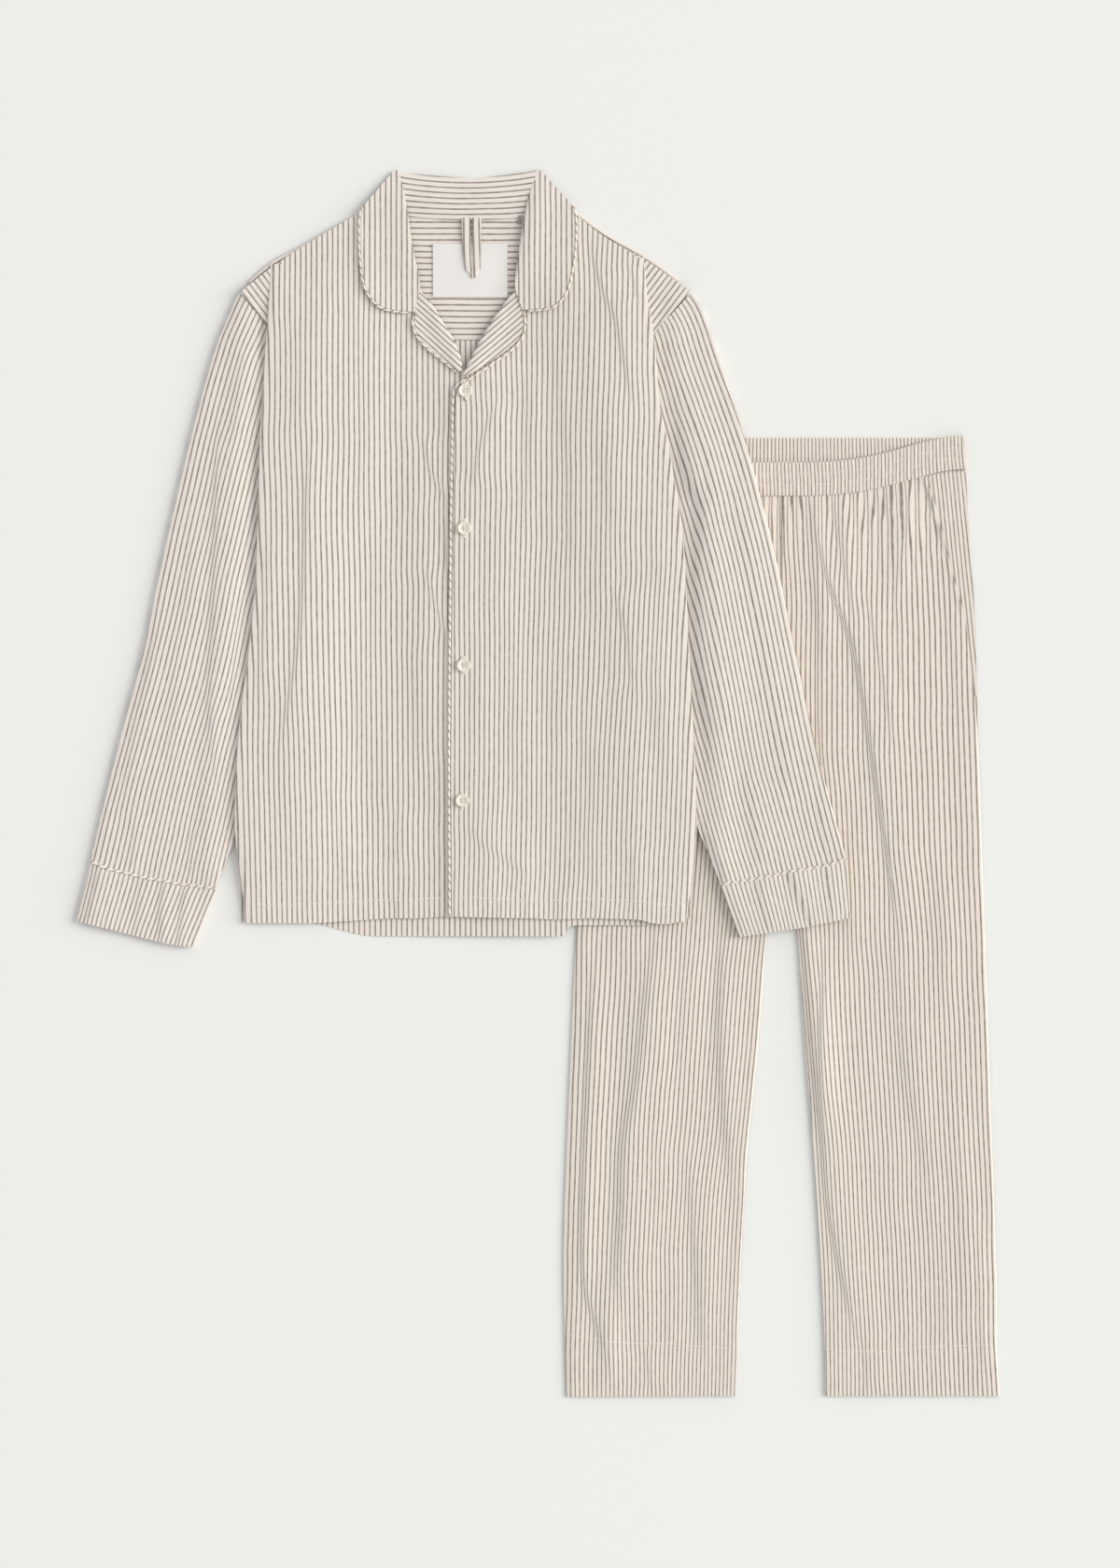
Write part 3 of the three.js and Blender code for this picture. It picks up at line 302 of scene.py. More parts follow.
def grid_faces(index: np.ndarray) -> np.ndarray:
    """Four-sided faces of a grid of indices."""
    corners = [index[:-1, :-1], index[:-1, 1:], index[1:, 1:], index[1:, :-1]]
    return np.stack(corners, axis=-1).reshape(-1, 4)


def disc_faces(ring: np.ndarray) -> np.ndarray:
    """Four-sided faces that close a ring of indices, in strips straight across it."""
    half = np.arange(len(ring) // 2 - 1)
    return np.stack([ring[half], ring[half + 1], ring[-2 - half], ring[-1 - half]], axis=-1)


@dataclass
class Cloth:
    """A closed mesh with cloth coordinates: points in mm, faces, and u and v in mm at each corner."""

    points: np.ndarray
    faces: np.ndarray
    uv: np.ndarray

    @classmethod
    def layered(cls, upper: np.ndarray, under: np.ndarray, uv: np.ndarray, closed: bool) -> "Cloth":
        """Joins two matching grids into one closed wall.

        Args:
            upper: grid of points on one side.
            under: the same grid on the other side.
            uv: cloth coordinates of the grid, with one more column where the grid is closed.
            closed: True where the last column meets the first.

        Returns:
            The closed wall.
        """
        rows, columns = upper.shape[:2]
        index = np.arange(rows * columns).reshape(rows, columns)
        corner = np.arange(uv.shape[0] * uv.shape[1]).reshape(uv.shape[:2])
        if closed:
            index = np.hstack([index, index[:, :1]])
        count = rows * columns
        face_sets, corner_sets = [], []
        for grid, sets in ((index, face_sets), (corner, corner_sets)):
            offset = count if grid is index else 0
            sets.append(grid_faces(grid))
            sets.append(grid_faces(grid)[:, ::-1] + offset)
            edges = [grid[0], grid[-1][::-1]]
            if not closed:
                edges = [np.r_[grid[0], grid[1:, -1], grid[-1, -2::-1], grid[-2::-1, 0]]]
            for edge in edges:
                here, after = edge[:-1], edge[1:]
                sets.append(np.stack([after, here, here + offset, after + offset], axis=-1))
        points = np.concatenate([upper.reshape(-1, 3), under.reshape(-1, 3)])
        flat_uv = uv.reshape(-1, 2)
        made = cls(points, np.concatenate(face_sets), flat_uv[np.concatenate(corner_sets)])
        return made.turned_out()

    @classmethod
    def wall(cls, grid: np.ndarray, uv: np.ndarray, thickness: float, closed: bool = False) -> "Cloth":
        """Thickens a grid of middle points both ways along its normals."""
        if closed:
            across = np.roll(grid, -1, axis=1) - np.roll(grid, 1, axis=1)
        else:
            across = np.gradient(grid, axis=1)
        normal = np.cross(across, np.gradient(grid, axis=0))
        normal /= np.linalg.norm(normal, axis=-1, keepdims=True)
        half = normal * thickness / 2.0
        return cls.layered(grid + half, grid - half, uv, closed)

    @classmethod
    def cord(cls, path: np.ndarray, radius: float, closed: bool = False) -> "Cloth":
        """A round cord of eight sides along a path of points, with flat ends or closed on itself."""
        sides = 8
        if closed:
            ahead = np.roll(path, -1, axis=0) - np.roll(path, 1, axis=0)
            axis = np.cross(path, np.roll(path, -1, axis=0)).sum(axis=0)
        else:
            ahead = np.gradient(path, axis=0)
            axis = np.array([0.0, 0.0, 1.0])
        ahead /= np.linalg.norm(ahead, axis=1, keepdims=True)
        sideways = np.cross(axis, ahead)
        sideways /= np.linalg.norm(sideways, axis=1, keepdims=True)
        upward = np.cross(ahead, sideways)
        angle = 2 * np.pi * np.arange(sides) / sides
        cosine, sine = np.cos(angle)[None, :, None], np.sin(angle)[None, :, None]
        ring = sideways[:, None] * cosine + upward[:, None] * sine
        points = (path[:, None] + radius * ring).reshape(-1, 3)
        rows = len(path)
        index = np.arange(rows * sides).reshape(rows, sides)
        index = np.hstack([index, index[:, :1]])
        along = run_along(np.vstack([path, path[:1]]))
        around = radius * 2 * np.pi * even(sides)
        if closed:
            index = np.vstack([index, index[:1]])
        uv = np.stack(np.broadcast_arrays(around[None, :], along[: len(index), None]), axis=-1)
        corner = np.arange(uv.shape[0] * uv.shape[1]).reshape(uv.shape[:2])
        faces, corners = [grid_faces(index)], [grid_faces(corner)]
        if not closed:
            cap = np.array([[0, 1, 2, 7], [7, 2, 3, 6], [6, 3, 4, 5]])
            for end, turn in ((0, -1), (rows - 1, 1)):
                faces.append(index[end][cap][:, ::-turn])
                corners.append(corner[end][cap][:, ::-turn])
        made = cls(points, np.concatenate(faces), uv.reshape(-1, 2)[np.concatenate(corners)])
        return made.turned_out()

    @classmethod
    def turned(cls, profile: np.ndarray, steps: int) -> "Cloth":
        """A profile of radius and height, swept round an upright axis and closed at both ends."""
        turn = 2 * np.pi * np.arange(steps) / steps
        radius, height = profile[:, :1], profile[:, 1:]
        points = np.stack([radius * np.cos(turn), radius * np.sin(turn), height + 0 * turn], axis=-1)
        points = points.reshape(-1, 3)
        index = np.arange(len(points)).reshape(-1, steps)
        side = grid_faces(np.hstack([index, index[:, :1]]))
        faces = np.concatenate([side, disc_faces(index[0]), disc_faces(index[-1])[:, ::-1]])
        return cls(points, faces, points[faces][..., :2]).turned_out()

    @classmethod
    def together(cls, parts: list["Cloth"]) -> "Cloth":
        """Several closed meshes as one."""
        starts = np.cumsum([0] + [len(p.points) for p in parts[:-1]])
        return cls(
            np.concatenate([p.points for p in parts]),
            np.concatenate([p.faces + start for p, start in zip(parts, starts)]),
            np.concatenate([p.uv for p in parts]),
        )

    def turned_out(self) -> "Cloth":
        """The same mesh with its faces pointing outwards."""
        a, b, c, d = (self.points[self.faces[:, k]] for k in range(4))
        volume = np.sum(a * np.cross(b, c)) + np.sum(a * np.cross(c, d))
        if volume < 0.0:
            self.faces, self.uv = self.faces[:, ::-1], self.uv[:, ::-1]
        return self

    def area(self) -> float:
        """Area of one side of the cloth, in square metres."""
        a, b, c, d = (self.points[self.faces[:, k]] for k in range(4))
        double = np.linalg.norm(np.cross(c - a, d - b), axis=1).sum()
        return float(double / 4.0) * MM * MM

    def to_object(self, name: str) -> bpy.types.Object:
        """A smooth-shaded object of this mesh, in metres, at the origin."""
        mesh = bpy.data.meshes.new(name)
        mesh.vertices.add(len(self.points))
        mesh.vertices.foreach_set("co", (self.points * MM).astype(np.float32).ravel())
        mesh.loops.add(self.faces.size)
        mesh.loops.foreach_set("vertex_index", self.faces.astype(np.int32).ravel())
        mesh.polygons.add(len(self.faces))
        mesh.polygons.foreach_set("loop_start", np.arange(0, self.faces.size, 4, dtype=np.int32))
        mesh.update(calc_edges=True)
        layer = mesh.uv_layers.new(name="cloth")
        layer.data.foreach_set("uv", self.uv.astype(np.float32).ravel())
        mesh.shade_smooth()
        mesh.set_sharp_from_angle(angle=math.radians(48))
        made = bpy.data.objects.new(name, mesh)
        bpy.context.scene.collection.objects.link(made)
        return made


def stitches(path: np.ndarray, radius: float, length: float = 2.4, gap: float = 1.2) -> Cloth:
    """A row of sewn stitches along a path of points, each a short thread bent down at its ends.

    Args:
        path: points in mm along the seam, on the cloth.
        radius: radius of the thread.
        length: length of a stitch.
        gap: distance between two stitches.

    Returns:
        All the stitches as one mesh.
    """
    run = run_along(path)
    count = max(int(run[-1] / (length + gap)), 1)
    parts = []
    profile = np.array([0.0, 0.18, 0.5, 0.82, 1.0])
    dip = np.array([-0.45, 0.1, 0.25, 0.1, -0.45])
    for k in range(count):
        where = k * (length + gap) + length * profile
        line = np.stack([np.interp(where, run, path[:, a]) for a in range(3)], axis=-1)
        line[:, 2] += dip
        parts.append(Cloth.cord(line, radius))
    return Cloth.together(parts)


# Places on the board that several pieces share
POCKET_EDGE = Outline((
    (990, 512), (1003, 548), (1012, 582), (1021, 617), (1034, 664), (1042, 730), (1047.6, 790),
))
POCKET_END = 745.0
MOUTH_END = 790.0
CROTCH = 800.0
LEG_SEAM = 2.1  # height of the pressed side seam over the back
LEG_WIDTH = 193.0
YOKE_SEAM = 364.0
SHIRT_MIDDLE = 485.0
TROUSERS_MIDDLE = 838.0
WAIST_HALF = 195.0
BACK_BAND_TOP = 469.0
BAND_HEIGHT = 35.5
BAND_WALL = 1.8
BAND_GAP = 0.8
BAND_ROWS = (1 / 3, 2 / 3)  # the band's rows of stitches, as shares of its height
CUFF_WIDTH = 133.0
BUTTON_PLACES: Points = ((498.4, 418.5), (497.5, 566), (496.9, 713), (495.5, 857.6))
LABEL_BOX = (463.7, 261.0, 80.0, 57.0)  # left, top, width and height
NECK_EDGE: Points = (
    (414, 214), (422, 214), (425, 224), (436, 230), (447, 232), (505, 233), (553, 232),
    (564, 230), (575, 224), (578, 214), (586, 209),
)
YOKE_FOOT: Points = (
    (262, 313.5), (287, 346), (290, YOKE_SEAM), (698, YOKE_SEAM), (702, 352), (732.5, 311),
)
FRONT_EDGE_CORD = Outline((
    (561.6, 336), (562.8, 347), (559.4, 362), (546.8, 375.8), (524.8, 391.8), (511, 401),
    (503, 406.2), (495.5, 408.4), (489.5, 413), (486, 420.5), (484.8, 445), (484.2, 488),
    (483.2, 532), (482.6, 600), (481.6, 700), (481.2, 760), (481, 850), (481.8, 982.5),
))


def band_top(x: np.ndarray) -> np.ndarray:
    """Top edge of the front waistband, lowest at the middle of the trousers."""
    q = np.minimum(np.abs(x - TROUSERS_MIDDLE) / WAIST_HALF, 1.0)
    return 495.5 - 28.5 * np.sin((np.pi / 2) * q**1.55) ** 2


# Main creases, placed one by one where the cloth shows them. A row gives the path, half width, height,
# tail and take-up.
FRONT_LEFT_CREASES = (
    Crease(((333, 455), (327, 540), (325, 600), (319, 690), (295, 825)), 5, 1.4, 34, 2.4),
    Crease(((450, 462), (459, 500), (480, 536)), 4, 1.0, 26, 1.4),
    Crease(((454, 604), (464, 640), (481, 688)), 4, 1.0, 26, 1.6),
    Crease(((430, 860), (423, 900), (426, 932)), 10, 0.8, 30, 0.8),
    Crease(((372, 300), (384, 380), (388, 470), (380, 560)), 15, 0.8, 40, 1.0),
    Crease(((312, 330), (318, 400), (314, 470)), 12, 0.9, 40, 1.0),
    Crease(((404, 560), (398, 660), (388, 760), (384, 850)), 18, 0.8, 50, 1.2),
    Crease(((436, 690), (447, 760), (446, 830)), 14, 0.7, 40, 0.8),
    Crease(((352, 830), (360, 900), (372, 960)), 12, 0.6, 36, 0.8),
    Crease(((470, 400), (476, 440), (473, 520), (474, 600)), 7, 0.7, 18, 0.6),
    Crease(((418, 958), (424, 970), (424, 990)), 4, 0.5, 14, 0.6),
    Crease(((286, 560), (283, 660), (274, 760)), 8, 0.9, 26, 1.2),
)
FRONT_RIGHT_CREASES = (
    Crease(((630, 250), (643, 306), (659, 343), (669, 390), (679, 446)), 5, 1.5, 40, 2.2),
    Crease(((672, 280), (679, 300), (684, 326)), 5, 0.9, 20, 0.8),
    Crease(((533, 424), (521, 460), (512, 484), (506, 526)), 5, 1.1, 30, 1.6),
    Crease(((564, 380), (565, 450), (564, 510), (558, 580)), 9, 0.8, 36, 1.0),
    Crease(((592, 345), (600, 430), (607, 500), (610, 640)), 10, 0.9, 40, 1.2),
    Crease(((655, 620), (666, 665), (673, 690), (679, 755)), 5, 1.2, 34, 1.8),
    Crease(((498, 880), (515, 904), (542, 921), (572, 942)), 6, 0.9, 30, 1.0),
    Crease(((677, 900), (677, 940), (679, 984)), 6, 0.9, 26, 0.8),
    Crease(((545, 640), (552, 720), (548, 800), (552, 880)), 16, 0.7, 44, 1.0),
    Crease(((622, 760), (632, 830), (630, 900), (636, 968)), 14, 0.8, 44, 1.2),
    Crease(((640, 470), (652, 540), (650, 610)), 14, 0.8, 40, 1.0),
    Crease(((702, 560), (706, 640), (702, 740), (708, 840)), 12, 0.9, 34, 1.0),
    Crease(((528, 958), (534, 970), (533, 990)), 4, 0.5, 14, 0.6),
    Crease(((560, 956), (564, 970), (563, 990)), 4, 0.45, 14, 0.5),
    Crease(((592, 958), (598, 972), (597, 990)), 4, 0.5, 14, 0.6),
)
SLEEVE_LEFT_CREASES = (
    Crease(((232, 420), (231, 500), (228, 627), (224, 759), (235, 870)), 6, 1.6, 34, 2.0),
    Crease(((286, 318), (282, 352), (279, 396)), 9, 1.7, form=Form.TROUGH),
    Crease(((279, 438), (275, 500), (270, 590), (262, 690), (254, 760)), 14, 1.8, form=Form.TROUGH),
    Crease(((176, 640), (158, 720), (140, 800), (124, 890)), 12, 1.2, 40, 1.4),
    Crease(((262, 360), (254, 420), (250, 480)), 8, 0.9, 26, 1.0),
    Crease(((205, 560), (196, 660), (182, 760), (178, 860)), 14, 0.8, 34, 1.0),
    Crease(((262, 620), (252, 700), (246, 780)), 7, 1.0, 22, 1.4),
    Crease(((206, 880), (204, 915), (206, 945)), 5, 0.7, 18, 0.8),
    Crease(((146, 870), (142, 905), (140, 935)), 6, 0.6, 20, 0.6),
)
SLEEVE_RIGHT_CREASES = (
    Crease(
        ((720, 405), (733, 505), (748, 545), (744, 627), (746, 706), (756, 785), (752, 850)),
        12, 5.4, 90, 2.6,
    ),
    Crease(((752, 872), (755, 905), (766, 945), (780, 1000)), 6, 1.6, 30, 0.8),
    Crease(((700, 334), (697, 352), (700, 376)), 7, 1.6, 30, 1.0),
    Crease(((768, 480), (794, 570), (816, 700), (836, 808), (848, 915)), 13, 1.3, 44, 1.6),
    Crease(((726, 400), (738, 440), (757, 500), (762, 560)), 8, 1.2, 26, 1.4),
    Crease(((756, 560), (764, 640), (768, 720), (782, 810)), 8, 1.0, 26, 1.2),
    Crease(((766, 400), (786, 470), (804, 540)), 14, 0.8, 36, 0.8),
    Crease(((800, 830), (806, 880), (814, 935)), 8, 0.9, 26, 1.0),
    Crease(((872, 850), (880, 890), (884, 920)), 6, 0.7, 20, 0.6),
)
CUFF_LEFT_CREASES = (
    Crease(((104, 920), (98, 960), (88, 1000)), 7, 1.6, 30, 1.2),
    Crease(((176, 934), (171, 975), (172, 1024)), 5, 1.4, 16, 1.4),
    Crease(((200, 938), (194, 975), (190, 1026)), 5, 1.4, 16, 1.6),
    Crease(((150, 932), (147, 970), (142, 1014)), 7, 0.8, 24, 0.8),
)
CUFF_RIGHT_CREASES = (
    Crease(((838, 922), (855, 960), (876, 1006)), 6, 1.6, 24, 1.6),
    Crease(((883, 916), (888, 955), (889, 1000)), 5.5, 1.0, 24, 1.2),
    Crease(((808, 930), (816, 968), (828, 1010)), 6, 1.1, 22, 1.0),
)
LEG_LEFT_CREASES = (
    Crease(
        ((706, 960), (692, 1063), (680, 1159), (665, 1230), (664, 1297), (661, 1376), (674, 1460)),
        11, 3.4, 46, 3.8,
    ),
    Crease(((772, 970), (770, 1060), (770, 1126), (777, 1210), (785, 1300)), 8, 2.0, 34, 2.4),
    Crease(((734, 1220), (741, 1310), (746, 1370), (754, 1470)), 8, 1.5, 36, 1.8),
    Crease(
        ((635, 1000), (631, 1100), (627, 1188), (623, 1313), (626, 1380), (643, 1432), (661, 1505)),
        5, 1.9, 24, 2.6,
    ),
    Crease(((690, 1440), (694, 1465), (697, 1492)), 5, 0.8, 16, 1.0),
    Crease(((735, 1000), (730, 1090), (722, 1180)), 12, 0.9, 36, 1.2),
    Crease(((700, 1200), (704, 1280), (700, 1370)), 12, 0.8, 34, 1.0),
)
LEG_RIGHT_CREASES = (
    Crease(((866, 530), (888, 625), (915, 700), (936, 825), (949, 908), (966, 1030)), 4, 2.4, 44, 5.0),
    Crease(((872, 585), (876, 680), (877, 783), (892, 865)), 4, 1.0, 26, 2.0),
    Crease(((888, 512), (897, 570), (908, 620), (916, 675)), 3.6, 0.7, 24, 1.6),
    Crease(((977, 500), (970, 570), (961, 620), (957, 680)), 3.6, 0.8, 30, 1.2),
    Crease(((925, 620), (936, 680), (946, 730), (959, 815)), 4.4, 0.9, 30, 1.6),
    Crease(((834, 520), (836, 560), (838, 610)), 3, 0.8, 14, 1.0),
    Crease(((871, 518), (872, 560), (876, 605)), 3, 0.8, 14, 1.0),
    Crease(((949, 508), (948, 530), (950, 560)), 2.8, 0.7, 14, 0.8),
    Crease(((987, 506), (991, 520), (997, 537), (1001, 553)), 2.8, 2.3, 9, 1.0),
    Crease(((1004, 556), (1007, 570), (1010, 586)), 2.6, 1.8, 8, 0.6),
    Crease(((1011, 588), (1019, 620), (1032, 668)), 2.4, 0.6, 8, 0.3),
    Crease(((962, 640), (962, 690), (966, 726), (968, 752)), 5, 0.7, 40, 0.6),
    Crease(((1012, 640), (1020, 700), (1024, 780)), 10, 0.7, 30, 0.8),
    Crease(((853, 950), (861, 1050), (869, 1130), (878, 1230)), 7, 2.6, 26, 3.0),
    Crease(
        ((884, 975), (881, 1063), (878, 1120), (880, 1200), (886, 1290), (902, 1370), (927, 1470)),
        6, 2.0, 34, 3.4,
    ),
    Crease(((955, 985), (959, 1060), (968, 1150), (986, 1220), (998, 1290)), 12, 1.4, 50, 2.0),
    Crease(((926, 1430), (928, 1462), (928, 1494)), 5, 0.8, 20, 0.8),
    Crease(((1046, 1300), (1049, 1370), (1051, 1440), (1053, 1494)), 3.5, 0.9, 16, 1.0),
    Crease(((1000, 900), (1006, 1000), (1010, 1100)), 14, 0.8, 40, 1.0),
    Crease(((1004, 1290), (1010, 1370), (1012, 1450)), 12, 0.8, 36, 1.0),
    Crease(((905, 880), (908, 950), (912, 1040)), 12, 0.8, 36, 1.0),
)
BACK_CREASES = (
    Crease(((352, 420), (360, 560), (350, 720), (344, 900)), 9, 0.7, 44, 1.6),
    Crease(((470, 400), (466, 560), (474, 760), (470, 930)), 12, 0.6, 50, 1.4),
    Crease(((592, 430), (600, 560), (594, 700)), 8, 0.7, 40, 1.6),
    Crease(((650, 560), (656, 720), (648, 900)), 10, 0.6, 46, 1.4),
    Crease(((410, 700), (418, 820), (412, 960)), 7, 0.6, 36, 1.2),
)
BACK_LEFT_LEG_CREASES = (
    Crease(((700, 620), (706, 800), (692, 1010), (686, 1240)), 9, 0.6, 44, 1.6),
    Crease(((770, 560), (776, 760), (764, 930)), 7, 0.5, 36, 1.2),
    Crease(((736, 1120), (730, 1260), (738, 1410)), 8, 0.5, 40, 1.2),
)
BACK_RIGHT_LEG_CREASES = (
    Crease(((900, 600), (914, 800), (930, 1010), (938, 1240)), 9, 0.6, 44, 1.6),
    Crease(((978, 560), (984, 740), (996, 930)), 7, 0.5, 36, 1.2),
    Crease(((1008, 1100), (1016, 1250), (1012, 1400)), 8, 0.5, 40, 1.2),
)


@dataclass(frozen=True)
class Side:
    """The outlines, creases and ways of lying of one side of the set, as seen from above.

    Attributes:
        number: 1 or 2, the last digit of the seeds of this side's small waves.
        inward: 1 where the middle of the shirt is towards larger x, or else -1.
        overlap: how much higher the front lies along the button line.
        front_lean: how far the stripes lean at the side fold, in the columns y and lean.
        front_repeat: distance between two stripes on the front.
        lapel_turn: cosine and sine of the angle of a lapel's stripes.
        leaf_drop: how far a collar leaf rolls down at its inner edge.
        leg_inner_height: height of the pressed inner edge of the trouser front.
        leg_repeats: distance between two stripes at the inner and the outer seam of the leg.
        leg_area: area of the trouser front that shows, in square metres.
        leg_hem: both ends of the leg's hem seam.
    """

    name: str
    number: int
    inward: int
    overlap: float
    fold: Outline
    front_edge: Outline
    front_head: Outline
    front_hem: Outline
    front_lean: Points
    front_repeat: float
    front_creases: tuple[Crease, ...]
    corner: Panel
    shoulder: Outline
    sleeve_head: Outline
    sleeve_outer: Outline
    sleeve_inner: Outline
    sleeve_on: str
    sleeve_creases: tuple[Crease, ...]
    cuff_seam: Points
    cuff_edge: Points
    cuff_on: str
    cuff_creases: tuple[Crease, ...]
    leaf: Panel
    leaf_drop: float
    lapel: Panel
    lapel_turn: tuple[float, float]
    lapel_repeat: float
    leg_outer: Outline
    leg_inner: Outline
    leg_inner_height: float
    leg_repeats: tuple[float, float]
    leg_area: float
    leg_hem: Points
    leg_creases: tuple[Crease, ...]
    leg_back_creases: tuple[Crease, ...]


LEFT = Side(
    name="left",
    number=1,
    inward=1,
    overlap=0.0,
    fold=Outline((
        (290, 284), (288, 330), (283, 400), (279, 470), (277, 540), (274, 620),
        (267, 695), (258, 765), (253, 830), (252, 895), (254, 945), (256.5, 988),
    )),
    front_edge=Outline((
        (421, 221), (428, 245), (436, 280), (445, 309), (459, 331), (470, 348),
        (483, 368), (492, 388), (500, 402), (512, 425), (512, 600), (512, 985),
    )),
    front_head=Outline(((418, 212.5), (385.5, 228), (338, 254.8), (306, 272.5), (290, 283))),
    front_hem=Outline((
        (512, 984), (481, 982), (444, 984), (419, 984), (355, 988), (329, 989), (263.5, 989),
    )),
    front_lean=((283, 0), (500, 0), (600, 2), (800, 6), (988, 11)),
    front_repeat=STRIPE_REPEAT,
    front_creases=FRONT_LEFT_CREASES,
    corner=Panel(
        Outline(((302, 282.5), (304, 320), (306, 372))),
        Outline(((257.8, 313.5), (270.6, 329), (285.1, 348), (298.2, 375.5))),
        Outline(((302, 279.5), (291, 286), (279.5, 295), (268.5, 304), (257.8, 313.5))),
    ),
    shoulder=Outline((
        (414, 212), (385, 227.5), (338, 254.5), (306, 272), (288.5, 282.5), (267, 301), (259.5, 310),
    )),
    sleeve_head=Outline(((256.5, 313.5), (270.5, 330), (285.5, 349.5), (326, 434))),
    sleeve_outer=Outline((
        (256.5, 313.5), (244.6, 340), (229, 380), (207, 460), (188, 540), (170, 620),
        (153.5, 700), (132, 780), (112, 860), (98, 921),
    )),
    sleeve_inner=Outline((
        (325.5, 433), (318, 500), (303, 600), (290, 700), (273, 790), (253, 889), (241, 925), (231.5, 949),
    )),
    sleeve_on="floor",
    sleeve_creases=SLEEVE_LEFT_CREASES,
    cuff_seam=(
        (97.5, 923.5), (114, 930.5), (135, 935.5), (154, 940.5), (175, 944), (199, 948), (230.5, 951.5),
    ),
    cuff_edge=((82, 987), (114, 995), (146, 1003), (178, 1011), (206, 1015)),
    cuff_on="floor",
    cuff_creases=CUFF_LEFT_CREASES,
    leaf=Panel(
        Outline(((427, 181.5), (434.5, 215), (442, 263), (450, 303), (448, 318), (443.5, 334))),
        Outline((
            (421, 183.5), (403, 205), (388, 226), (386.5, 262), (390, 300), (400, 321),
            (414, 330.5), (440, 334),
        )),
    ),
    leaf_drop=0.1,
    lapel=Panel(
        Outline(((451.5, 313), (463, 327), (473, 343), (485.5, 364), (493.5, 384), (494.5, 397))),
        Outline(((445, 336), (443.5, 346), (447, 358), (458, 371.5), (476, 386), (491.5, 398.5))),
    ),
    lapel_turn=(0.673, 0.74),
    lapel_repeat=4.85,
    leg_outer=Outline((
        (643, 505), (640, 600), (635, 740), (627, 880), (617.5, 1005), (612, 1120),
        (607, 1240), (604, 1340), (605, 1420), (607, 1497),
    )),
    leg_inner=Outline((
        (837.6, 532), (837.4, 700), (836.5, 805), (829, 895), (820.5, 1005),
        (812, 1120), (800, 1240), (794, 1340), (790, 1430), (787.5, 1496),
    )),
    leg_inner_height=LEG_SEAM,
    leg_repeats=(4.3, 5.1),
    leg_area=0.2,
    leg_hem=((606, 1430), (787, 1446)),
    leg_creases=LEG_LEFT_CREASES,
    leg_back_creases=BACK_LEFT_LEG_CREASES,
)
